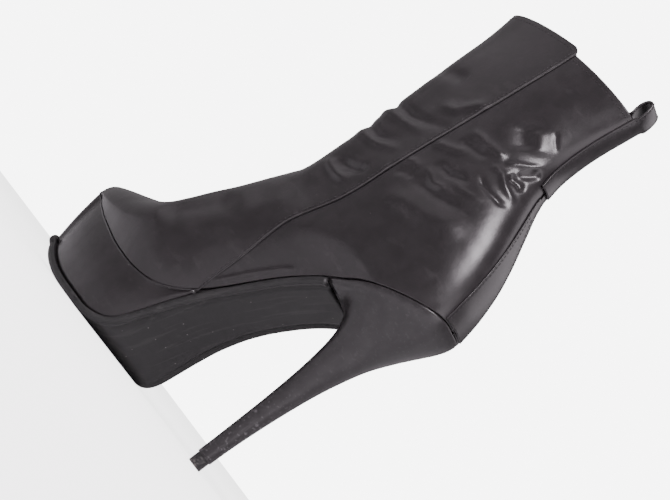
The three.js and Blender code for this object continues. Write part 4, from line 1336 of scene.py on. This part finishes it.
def band_slice(place, normal, half, fall, thickness):
    """Outline of a band across its run, with rounded edges, as a closed run of points."""
    points = []
    radius = thickness / 2
    for k in range(BAND_ACROSS + 1):
        share = 1 - 2 * k / BAND_ACROSS
        points.append((share, thickness))
    edge = [(-1, radius + radius * math.cos(math.radians(a)), math.sin(math.radians(a)))
            for a in (30, 60, 90, 120, 150)]
    run = [(s * (1 - radius / half * 0.6), t, 0) for s, t in points]
    run += [(-1 + radius / half * 0.6, t, -out * radius * 0.6) for _, t, out in edge]
    run += [(-s * (1 - radius / half * 0.6), 0, 0) for s, _ in points]
    run += [(1 - radius / half * 0.6, t, out * radius * 0.6) for _, t, out in reversed(edge)]
    run.append(run[0])
    return [
        place + normal * (t - fall * s * s) + Vector((0, s * half + extra, 0))
        for s, t, extra in run
    ]


def smooth_path(path, count):
    """The same path with count steps, through its places by a smooth curve."""
    rows = [[*p, *n, h, f] for p, n, h, f in path]
    at = row_spline(rows)
    lengths = [0]
    for a, b in zip(path, path[1:]):
        lengths.append(lengths[-1] + (b[0] - a[0]).length)
    made = []
    for k in range(count + 1):
        d = lengths[-1] * k / count
        i = clamp(bisect.bisect_right(lengths, d) - 1, 0, len(path) - 2)
        t = clamp((d - lengths[i]) / (lengths[i + 1] - lengths[i]), 0, 1)
        row = at(min(i + t, len(path) - 1 - 1e-6))
        made.append((Vector(row[:3]), Vector(row[3:6]).normalized(), row[6], row[7]))
    return made


def build_band(name, path, thickness, count):
    return closed_piece(name, [band_slice(*place, thickness) for place in smooth_path(path, count)])


# %% [markdown]
# The stay's width follows a table from its foot to its point. The strip's path goes up the
# shaft, through the loop's points and down inside the collar.

# %% Back stay and pull strip
stay_path = [
    band_point(STAY_START + rise * STAY_RISE, half * STAY_HALF, GAP * 0.4) for rise, half in STAY
]
back_stay = build_band("back_stay_leather", stay_path, STAY_THICKNESS, 70)
mount_piece(back_stay, "upper_leather", "back_stay")


def strip_path():
    top_z = collar_height(COLLAR_BACK, False)
    up = [band_point(mix(STRIP_START, top_z, k), STRIP_HALF, GAP * 0.4)
          for k in (0, 0.16, 0.32, 0.5, 0.68, 0.85, 1)]
    top, fall = up[-1][0], up[-1][3]
    loop = [Vector((top.x + run * LOOP_RISE, 0, top_z + rise * LOOP_RISE)) for run, rise in LOOP]
    inside = []
    for k in (0, 0.5, 1):
        depth = -WALL - 2 * GAP - STRIP_THICKNESS
        place, _, half, drop = band_point(top_z - k * LOOP_TAIL, STRIP_HALF, depth)
        inside.append((place + Vector((PANEL_STEP, 0, 0)), Vector((1, 0, 0)), half, -drop))
    middle = [top, *loop, inside[0][0]]
    over = []
    for i, place in enumerate(loop):
        along = middle[i + 2] - middle[i]
        flat = abs(i - (len(loop) - 1) / 2) / len(loop)
        over.append((place, Vector((-along.z, 0, along.x)).normalized(), STRIP_HALF, fall * flat))
    return up + over + inside


pull_strip = build_band("pull_strip", strip_path(), STRIP_THICKNESS, 120)
mount_piece(pull_strip, "upper_leather", "back_strip")

# %% [markdown]
# ## Stitches
#
# The panels, the stay and the strip are sewn with thick black thread. A stitch is a stretched
# ball sunk a little into the leather. Each row is a list of places with the outward direction
# there; the stitches are set along it at even steps.

# %% Sewing along a row
STITCH_STEP, STITCH_LENGTH, STITCH_RADIUS, STITCH_LIFT = 2.9, 2.2, 0.24, 0.06


def sew(bm, row):
    """Stitches along a row of (place, outward direction)."""
    ready = STITCH_STEP / 2
    for (a, na), (b, nb) in zip(row, row[1:]):
        length = (b - a).length
        while ready < length:
            t = ready / length
            along = (b - a).normalized()
            outward = na.lerp(nb, t)
            outward = (outward - along * outward.dot(along)).normalized()
            across = outward.cross(along)
            size = Matrix.Diagonal((STITCH_LENGTH / 2, STITCH_RADIUS, STITCH_RADIUS, 1))
            turn = Matrix((along, across, outward)).transposed().to_4x4()
            place = Matrix.Translation(a.lerp(b, t) + outward * STITCH_LIFT)
            bmesh.ops.create_icosphere(bm, subdivisions=1, radius=1, matrix=place @ turn @ size)
            ready += STITCH_STEP
        ready -= length


def outward_row(places, uprights):
    """Pairs places with the skin's outward direction, from the row and a second direction."""
    row = []
    for k, place in enumerate(places):
        along = places[min(k + 1, len(places) - 1)] - places[max(k - 1, 0)]
        outward = along.cross(uprights[k]).normalized()
        if outward.dot(place - panel_axis(place)) < 0:
            outward = -outward
        row.append((place + outward * relief(place), outward))
    return row


# %% [markdown]
# The front panel is sewn 1.6 mm inside its edge, and both panels 3 mm under the collar. The
# stay has a row along each side, and so has the strip.

# %% Rows of stitches
SEAM_INSET, COLLAR_INSET, STAY_INSET, STRIP_INSET = 1.6, 3.0, 1.5, 1.2


def seam_row(side):
    places, uprights = [], []
    for k in range(241):
        sec = section(mix(SEAM_ROW + 0.05, TOP_ROW, k / 240))
        edge, place, past = arc_points(sec, side, sec["seam"], math.pi, lambda length: [
            SEAM_INSET - 0.5, SEAM_INSET, SEAM_INSET + 0.5
        ])
        if place.z > BOOT_HEIGHT - COLLAR_INSET:
            break
        places.append(place)
        uprights.append(past - edge)
    return outward_row(places, uprights)


def collar_row(columns, skip):
    places, uprights = [], []
    for column in columns[skip:]:
        k = len(column) - 1
        while k > 1 and (column[-1] - column[k - 1]).length < COLLAR_INSET:
            k -= 1
        near, far = (column[-1] - column[k]).length, (column[-1] - column[k - 1]).length
        places.append(column[k].lerp(column[k - 1], (COLLAR_INSET - near) / max(far - near, 1e-6)))
        uprights.append(column[-1] - column[k - 1])
    return outward_row(places, uprights)


def band_row(path, thickness, inset, side):
    row = []
    for place, normal, half, fall in path:
        if half < inset + 1:
            break
        share = 1 - inset / half
        beside = Vector((0, side * share * half, 0))
        row.append((place + normal * (thickness - fall * share * share) + beside, normal))
    return row


bm = bmesh.new()
for side in (1, -1):
    sew(bm, seam_row(side))
    sew(bm, collar_row(front_half(side), 4))
    sew(bm, [(p - n * PANEL_STEP, n) for p, n in collar_row(back_half(side), 9)])
    sew(bm, band_row(smooth_path(stay_path, 120), STAY_THICKNESS, STAY_INSET, side))
    sew(bm, band_row(smooth_path(strip_path(), 200), STRIP_THICKNESS, STRIP_INSET, side))
stitches = finish_mesh(bm, "stitches", merge=0.0001)
mount_piece(stitches, "upper_leather")

# %% [markdown]
# ## Finishes
#
# Leather, rubber and plastic share a few effects: a grain, slow unevenness, dust specks and
# scuffs. Each is a node group that reads Object coordinates in metres, takes sizes in
# millimetres, and gives a height or a mask. The shaders themselves stay in the materials, where
# their constant values are typed on their own sockets.

# %% Small helpers for nodes
def add_node(tree, kind, inputs=(), **settings):
    made = tree.nodes.new(kind)
    for name, value in settings.items():
        setattr(made, name, value)
    for key, value in dict(inputs).items():
        if isinstance(value, bpy.types.NodeSocket):
            tree.links.new(value, made.inputs[key])
        else:
            made.inputs[key].default_value = value
    return made


def calculate(tree, operation, *values):
    return add_node(tree, "ShaderNodeMath", dict(enumerate(values)), operation=operation).outputs[0]


def spread(tree, value, low, high, to_low=0.0, to_high=1.0):
    """value between low and high becomes to_low to to_high, clamped and eased."""
    inputs = {
        "Value": value, "From Min": low, "From Max": high, "To Min": to_low, "To Max": to_high
    }
    return add_node(tree, "ShaderNodeMapRange", inputs, interpolation_type="SMOOTHSTEP").outputs[0]


def blend_colours(tree, share, a, b):
    mixed = add_node(tree, "ShaderNodeMix", data_type="RGBA")
    for socket, value in ((mixed.inputs[0], share), (mixed.inputs[6], a), (mixed.inputs[7], b)):
        if isinstance(value, bpy.types.NodeSocket):
            tree.links.new(value, socket)
        else:
            socket.default_value = value
    return mixed.outputs[2]


def shared_effect(name, sizes, build):
    """A node group with named number inputs and one number output."""
    group = bpy.data.node_groups.new(name, "ShaderNodeTree")
    for size, start in sizes.items():
        socket = group.interface.new_socket(
            name=size, in_out="INPUT", socket_type="NodeSocketFloat"
        )
        socket.default_value = start
    group.interface.new_socket(name="Result", in_out="OUTPUT", socket_type="NodeSocketFloat")
    entry = group.nodes.new("NodeGroupInput")
    place = group.nodes.new("ShaderNodeTexCoord").outputs["Object"]
    result = build(group, place, entry.outputs)
    group.links.new(result, group.nodes.new("NodeGroupOutput").inputs["Result"])
    return group


def per_metre(tree, millimetres):
    return calculate(tree, "DIVIDE", 1000.0, millimetres)


# %% [markdown]
# Real grain is a net of small plump cells with finer pores between them. Smooth Voronoi cells
# give the plump shape, and a noise breaks their regularity.

# %% Grain and unevenness
def build_grain(tree, place, sizes):
    cells = add_node(tree, "ShaderNodeTexVoronoi", {
        "Vector": place, "Scale": per_metre(tree, sizes["Cell"]), "Randomness": 0.95,
        "Smoothness": 0.35,
    }, feature="SMOOTH_F1").outputs["Distance"]
    pores = add_node(tree, "ShaderNodeTexNoise", {
        "Vector": place, "Scale": calculate(tree, "MULTIPLY", per_metre(tree, sizes["Cell"]), 0.55),
        "Detail": 3.0, "Roughness": 0.6,
    }).outputs["Fac"]
    return calculate(tree, "ADD", calculate(tree, "MULTIPLY", cells, -0.6), pores)


def build_unevenness(tree, place, sizes):
    return add_node(tree, "ShaderNodeTexNoise", {
        "Vector": place, "Scale": per_metre(tree, sizes["Size"]), "Detail": sizes["Detail"],
        "Roughness": 0.45, "Distortion": 0.3,
    }).outputs["Fac"]


grain = shared_effect("leather_grain", {"Cell": 0.5}, build_grain)
unevenness = shared_effect("unevenness", {"Size": 20.0, "Detail": 2.0}, build_unevenness)


# %% [markdown]
# Dust sits in single specks: a Voronoi cell shows one only near its centre, and only if the
# cell's own random number is low. Scuffs are noise that is stretched along one direction and
# cut at a level.

# %% Specks and scuffs
def build_specks(tree, place, sizes):
    bent = add_node(tree, "ShaderNodeTexNoise", {"Vector": place, "Scale": 900.0}).outputs["Color"]
    moved = add_node(
        tree, "ShaderNodeMix", {0: 0.0008, 4: place, 5: bent}, data_type="VECTOR"
    ).outputs[1]
    cells = add_node(tree, "ShaderNodeTexVoronoi", {
        "Vector": moved, "Scale": per_metre(tree, sizes["Spacing"]),
    })
    near = spread(tree, cells.outputs["Distance"], calculate(tree, "MULTIPLY", sizes["Size"], 0.5),
                  sizes["Size"], 1.0, 0.0)
    chance = add_node(
        tree, "ShaderNodeSeparateColor", {"Color": cells.outputs["Color"]}
    ).outputs["Red"]
    return calculate(tree, "MULTIPLY", near, calculate(tree, "LESS_THAN", chance, sizes["Share"]))


def build_scuffs(tree, place, sizes):
    turned = add_node(tree, "ShaderNodeCombineXYZ", {
        "X": per_metre(tree, sizes["X"]), "Y": per_metre(tree, sizes["Y"]),
        "Z": per_metre(tree, sizes["Z"]),
    }).outputs[0]
    stretched = add_node(
        tree, "ShaderNodeVectorMath", {0: place, 1: turned}, operation="MULTIPLY"
    ).outputs[0]
    streaks = add_node(tree, "ShaderNodeTexNoise", {
        "Vector": stretched, "Scale": 1.0, "Detail": 4.0, "Roughness": 0.65,
    }).outputs["Fac"]
    return spread(tree, streaks, sizes["Level"], calculate(tree, "ADD", sizes["Level"], 0.1))


specks = shared_effect("specks", {"Spacing": 6.0, "Size": 0.08, "Share": 0.3}, build_specks)
scuffs = shared_effect("scuffs", {"X": 4.0, "Y": 4.0, "Z": 4.0, "Level": 0.6}, build_scuffs)
print("effects:", [group.name for group in bpy.data.node_groups])


# %% [markdown]
# ### Building a finish
#
# A finish starts from one Principled shader. Its reflections are bent by a chain of Bump nodes,
# from the broadest to the finest, each with its height in millimetres.

# %% Starting a finish
def effect(tree, group, **sizes):
    used = add_node(tree, "ShaderNodeGroup", node_tree=group)
    for name, value in sizes.items():
        if isinstance(value, bpy.types.NodeSocket):
            tree.links.new(value, used.inputs[name])
        else:
            used.inputs[name].default_value = value
    return used.outputs["Result"]


def new_finish(name, **values):
    material = bpy.data.materials.new(name)
    material.use_nodes = True
    tree = material.node_tree
    shader = tree.nodes["Principled BSDF"]
    for socket, value in values.items():
        shader.inputs[socket.replace("_", " ")].default_value = value
    return material, tree, shader


def bump_chain(tree, shader, *layers):
    normal = None
    for height, millimetres in layers:
        inputs = {"Height": height, "Distance": millimetres * MM, "Strength": 1.0}
        if normal is not None:
            inputs["Normal"] = normal
        normal = add_node(tree, "ShaderNodeBump", inputs).outputs["Normal"]
    tree.links.new(normal, shader.inputs["Normal"])


def heights(tree):
    """The place in metres, split into X, Y and Z; Z is the height over the floor."""
    place = add_node(tree, "ShaderNodeTexCoord").outputs["Object"]
    return add_node(tree, "ShaderNodeSeparateXYZ", {"Vector": place}).outputs


# %% [markdown]
# ### Black leather of the upper
#
# Polished calf leather: nearly black with a brownish violet tint, a satin gloss that changes
# from place to place, a fine grain and, where it flexes, a net of finer wrinkles.

# %% Leather of the upper
def leather_finish(name, tint, worn, gloss, wrinkle, cell):
    material, tree, shader = new_finish(
        name, Coat_Weight=0.12, Coat_Roughness=0.28, Specular_IOR_Level=0.5
    )
    broad = effect(tree, unevenness, Size=26.0, Detail=1.5)
    patches = effect(tree, unevenness, Size=9.0, Detail=4.0)
    wrinkles = effect(tree, scuffs, X=2.2, Y=5.0, Z=3.4, Level=0.45)
    fine = effect(tree, grain, Cell=cell)
    dust = effect(tree, specks, Spacing=7.0, Size=0.05, Share=0.16)
    rubbed = effect(tree, scuffs, X=16.0, Y=10.0, Z=7.0, Level=0.58)
    body = blend_colours(
        tree, spread(tree, patches, 0.35, 0.7), tint, [c * 1.25 for c in tint[:3]] + [1]
    )
    body = blend_colours(tree, calculate(tree, "MULTIPLY", rubbed, 0.35), body, worn)
    body = blend_colours(tree, calculate(tree, "MULTIPLY", dust, 0.5), body, (0.22, 0.2, 0.2, 1))
    tree.links.new(body, shader.inputs["Base Color"])
    rough = spread(tree, patches, 0.3, 0.7, gloss, gloss + 0.05)
    rough = calculate(tree, "ADD", rough, calculate(tree, "MULTIPLY", rubbed, 0.04))
    tree.links.new(rough, shader.inputs["Roughness"])
    bump_chain(tree, shader, (broad, 0.7), (patches, 0.05), (wrinkles, wrinkle), (fine, 0.008))
    return material


upper_leather = leather_finish(
    "upper_leather", (0.012, 0.0098, 0.011, 1), (0.03, 0.026, 0.028, 1), 0.3, 0.012, 0.55
)
trim_leather = leather_finish(
    "trim_leather", (0.014, 0.0118, 0.013, 1), (0.034, 0.03, 0.032, 1), 0.3, 0.01, 0.5
)
print("leather nodes:", len(upper_leather.node_tree.nodes))


# %% [markdown]
# ### Leather of the heel
#
# It is glued tightly, so it has no wrinkles and more gloss. Toward the tip it is rubbed and
# nicked, which the scuffs show more strongly the lower they are.

# %% Leather of the heel
def heel_finish():
    material, tree, shader = new_finish(
        "heel_leather", Coat_Weight=0.2, Coat_Roughness=0.22, Specular_IOR_Level=0.5
    )
    height = heights(tree)["Z"]
    low = spread(tree, height, 0.012, 0.075, 1.0, 0.12)
    nicks = calculate(tree, "MULTIPLY", effect(tree, scuffs, X=2.6, Y=2.6, Z=1.5, Level=0.57), low)
    along = calculate(tree, "MULTIPLY", effect(tree, scuffs, X=1.6, Y=1.6, Z=14.0, Level=0.6), low)
    patches = effect(tree, unevenness, Size=7.0, Detail=4.0)
    tint = blend_colours(
        tree, spread(tree, patches, 0.35, 0.7), (0.012, 0.01, 0.0112, 1), (0.019, 0.0165, 0.018, 1)
    )
    tint = blend_colours(
        tree, calculate(tree, "MULTIPLY", along, 0.5), tint, (0.07, 0.066, 0.072, 1)
    )
    tint = blend_colours(
        tree, calculate(tree, "MULTIPLY", nicks, 0.65), tint, (0.16, 0.15, 0.16, 1)
    )
    tree.links.new(tint, shader.inputs["Base Color"])
    rough = spread(tree, patches, 0.3, 0.7, 0.3, 0.38)
    tree.links.new(
        calculate(tree, "ADD", rough, calculate(tree, "MULTIPLY", nicks, 0.25)),
        shader.inputs["Roughness"]
    )
    bump_chain(
        tree, shader, (effect(tree, unevenness, Size=18.0, Detail=1.0), 0.35), (patches, 0.06),
        (nicks, -0.05), (effect(tree, grain, Cell=0.45), 0.02)
    )
    return material


heel_leather = heel_finish()


# %% [markdown]
# ### Rubber of the sole, plastic of the tip, lining and thread
#
# The outsole is matte black rubber with faint streaks of wear along its length and pale specks
# of dust. The heel's tip is hard plastic, chipped by walking. The lining is smooth dark kid, and
# the thread is waxed.

# %% Other finishes
def sole_finish():
    material, tree, shader = new_finish("sole_rubber", Specular_IOR_Level=0.45)
    streaks = effect(tree, scuffs, X=38.0, Y=3.0, Z=38.0, Level=0.54)
    worn = effect(tree, scuffs, X=11.0, Y=8.0, Z=11.0, Level=0.6)
    dust = effect(tree, specks, Spacing=5.0, Size=0.09, Share=0.3)
    patches = effect(tree, unevenness, Size=14.0, Detail=5.0)
    tint = blend_colours(
        tree, spread(tree, patches, 0.3, 0.7), (0.011, 0.0105, 0.011, 1), (0.019, 0.0185, 0.019, 1)
    )
    tint = blend_colours(
        tree, calculate(tree, "MULTIPLY", streaks, 0.35), tint, (0.045, 0.043, 0.043, 1)
    )
    tint = blend_colours(
        tree, calculate(tree, "MULTIPLY", worn, 0.3), tint, (0.06, 0.058, 0.057, 1)
    )
    tint = blend_colours(tree, calculate(tree, "MULTIPLY", dust, 0.6), tint, (0.3, 0.28, 0.27, 1))
    tree.links.new(tint, shader.inputs["Base Color"])
    rough = spread(tree, patches, 0.3, 0.7, 0.46, 0.6)
    tree.links.new(
        calculate(tree, "ADD", rough, calculate(tree, "MULTIPLY", worn, 0.1)),
        shader.inputs["Roughness"]
    )
    bump_chain(
        tree, shader, (patches, 0.08), (streaks, 0.015), (effect(tree, grain, Cell=0.35), 0.012)
    )
    return material


def tip_finish():
    material, tree, shader = new_finish("tip_plastic")
    chips = effect(tree, scuffs, X=1.2, Y=1.2, Z=1.0, Level=0.5)
    low = spread(tree, heights(tree)["Z"], 0.0, 0.004, 1.0, 0.25)
    worn = calculate(tree, "MULTIPLY", chips, low)
    tree.links.new(
        blend_colours(tree, worn, (0.014, 0.013, 0.014, 1), (0.14, 0.13, 0.125, 1)),
        shader.inputs["Base Color"]
    )
    tree.links.new(spread(tree, worn, 0.0, 1.0, 0.4, 0.7), shader.inputs["Roughness"])
    bump_chain(tree, shader, (chips, -0.08), (effect(tree, grain, Cell=0.3), 0.01))
    return material


def lining_finish():
    material, tree, shader = new_finish("lining_kid", Specular_IOR_Level=0.4)
    patches = effect(tree, unevenness, Size=12.0, Detail=4.0)
    body = blend_colours(
        tree, spread(tree, patches, 0.3, 0.7), (0.018, 0.016, 0.017, 1), (0.03, 0.027, 0.028, 1)
    )
    tree.links.new(body, shader.inputs["Base Color"])
    tree.links.new(spread(tree, patches, 0.3, 0.7, 0.52, 0.64), shader.inputs["Roughness"])
    bump_chain(tree, shader, (patches, 0.1), (effect(tree, grain, Cell=0.4), 0.02))
    return material


def thread_finish():
    material, tree, shader = new_finish("waxed_thread", Specular_IOR_Level=0.5)
    strands = effect(tree, unevenness, Size=0.35, Detail=1.0)
    tree.links.new(
        blend_colours(tree, strands, (0.012, 0.011, 0.012, 1), (0.035, 0.032, 0.034, 1)),
        shader.inputs["Base Color"]
    )
    tree.links.new(spread(tree, strands, 0.3, 0.7, 0.4, 0.55), shader.inputs["Roughness"])
    bump_chain(tree, shader, (strands, 0.03))
    return material


finishes = {
    "front_panel": upper_leather, "back_panel": upper_leather, "platform_cover": upper_leather,
    "back_stay_leather": trim_leather, "pull_strip": trim_leather, "heel_cover": heel_leather,
    "rubber_outsole": sole_finish(), "heel_top_piece": tip_finish(),
    "shaft_lining": lining_finish(),
    "stitches": thread_finish(),
}
finishes["insole_sock"] = finishes["shaft_lining"]
for name, finish in finishes.items():
    bpy.data.objects[name].data.materials.clear()
    bpy.data.objects[name].data.materials.append(finish)
print(len(finishes), "pieces have their finish")

# %% [markdown]
# ## Floor, light and camera
#
# The boot stands on a plain pale floor. The strongest light hangs over its outer side and a
# little behind, and gives the long highlights on the heel and the counter. Three weaker ones
# stand behind, over the toe and on the inner side. The camera sees a white room, but the
# leather reflects a much dimmer one, because black leather shows every light as a highlight.
# The camera stands just over the floor, turned on its own axis.

# %% Floor
FLOOR_GLOW, BACKDROP, ROOM = 2.9, 7.0, 0.38
FLOOR_SIZE = 4
bm = bmesh.new()
bmesh.ops.create_grid(bm, x_segments=8, y_segments=8, size=FLOOR_SIZE)
mesh = bpy.data.meshes.new("studio_floor")
bm.to_mesh(mesh)
bm.free()
floor_finish, tree, shader = new_finish(
    "pale_floor", Base_Color=(0.82, 0.82, 0.83, 1), Roughness=0.6
)
camera_sees = add_node(tree, "ShaderNodeLightPath").outputs["Is Camera Ray"]
glow = add_node(tree, "ShaderNodeEmission", {"Color": (1, 1, 1, 1), "Strength": FLOOR_GLOW})
none = add_node(tree, "ShaderNodeEmission", {"Strength": 0.0})
seen = add_node(
    tree, "ShaderNodeMixShader", {0: camera_sees, 1: none.outputs[0], 2: glow.outputs[0]}
)
total = add_node(tree, "ShaderNodeAddShader", {0: shader.outputs[0], 1: seen.outputs[0]})
tree.links.new(total.outputs[0], tree.nodes["Material Output"].inputs["Surface"])
mesh.materials.append(floor_finish)
floor = bpy.data.objects.new("studio_floor", mesh)
bpy.context.scene.collection.objects.link(floor)

# %% Lights
LIGHTS_AIM = Vector((-0.03, 0, 0.1))


def soft_light(name, direction, distance, size, power):
    lamp = bpy.data.lights.new(name, "AREA")
    lamp.shape = "DISK"
    lamp.size = size
    lamp.energy = power
    lamp.color = (1, 0.93, 0.985)
    holder = bpy.data.objects.new(name, lamp)
    bpy.context.scene.collection.objects.link(holder)
    place = LIGHTS_AIM + Vector(direction).normalized() * distance
    holder.location = place
    holder.visible_camera = False
    holder.rotation_euler = (place - LIGHTS_AIM).to_track_quat("Z", "Y").to_euler()
    return holder


soft_light("key_light", (-0.34, 0.62, 0.71), 1.4, 0.56, 20)
soft_light("side_light", (-0.88, 0.36, 0.2), 1.3, 0.9, 4.8)
soft_light("top_light", (0.62, 0.4, 0.7), 1.6, 1.5, 2.4)
soft_light("far_light", (-0.4, -0.62, 0.65), 1.5, 1.1, 5)
world = bpy.data.worlds.new("studio_world")
world.use_nodes = True
tree = world.node_tree
seen = add_node(tree, "ShaderNodeBackground", {"Color": (1, 1, 1, 1), "Strength": BACKDROP})
room = tree.nodes["Background"]
room.inputs["Color"].default_value = (1, 0.95, 0.985, 1)
room.inputs["Strength"].default_value = ROOM
camera_sees = add_node(tree, "ShaderNodeLightPath").outputs["Is Camera Ray"]
both = add_node(
    tree, "ShaderNodeMixShader", {0: camera_sees, 1: room.outputs[0], 2: seen.outputs[0]}
)
tree.links.new(both.outputs[0], tree.nodes["World Output"].inputs["Surface"])
bpy.context.scene.world = world

# %% Camera
AIM = Vector((-55, 0, 130))
CAMERA_SIDE = Vector((-0.667, 0.745, 0)).normalized()
CAMERA_DISTANCE, CAMERA_HEIGHT, CAMERA_ROLL = 950, 14, 52.9
LENS, SENSOR_WIDTH = 93.96, 36
place = AIM + CAMERA_SIDE * math.sqrt(CAMERA_DISTANCE ** 2 - (AIM.z - CAMERA_HEIGHT) ** 2)
place.z = CAMERA_HEIGHT
back = (place - AIM).normalized()
right = Vector((0, 0, 1)).cross(back).normalized()
up = back.cross(right)
turn = math.radians(CAMERA_ROLL)
rolled_right = right * math.cos(turn) + up * math.sin(turn)
rolled_up = up * math.cos(turn) - right * math.sin(turn)
axes = Matrix((rolled_right, rolled_up, back)).transposed()
camera = bpy.data.objects.new("camera", bpy.data.cameras.new("camera"))
camera.data.lens = LENS
camera.data.sensor_width = SENSOR_WIDTH
camera.matrix_world = Matrix.Translation(place * MM) @ axes.to_4x4()
bpy.context.scene.collection.objects.link(camera)
bpy.context.scene.camera = camera
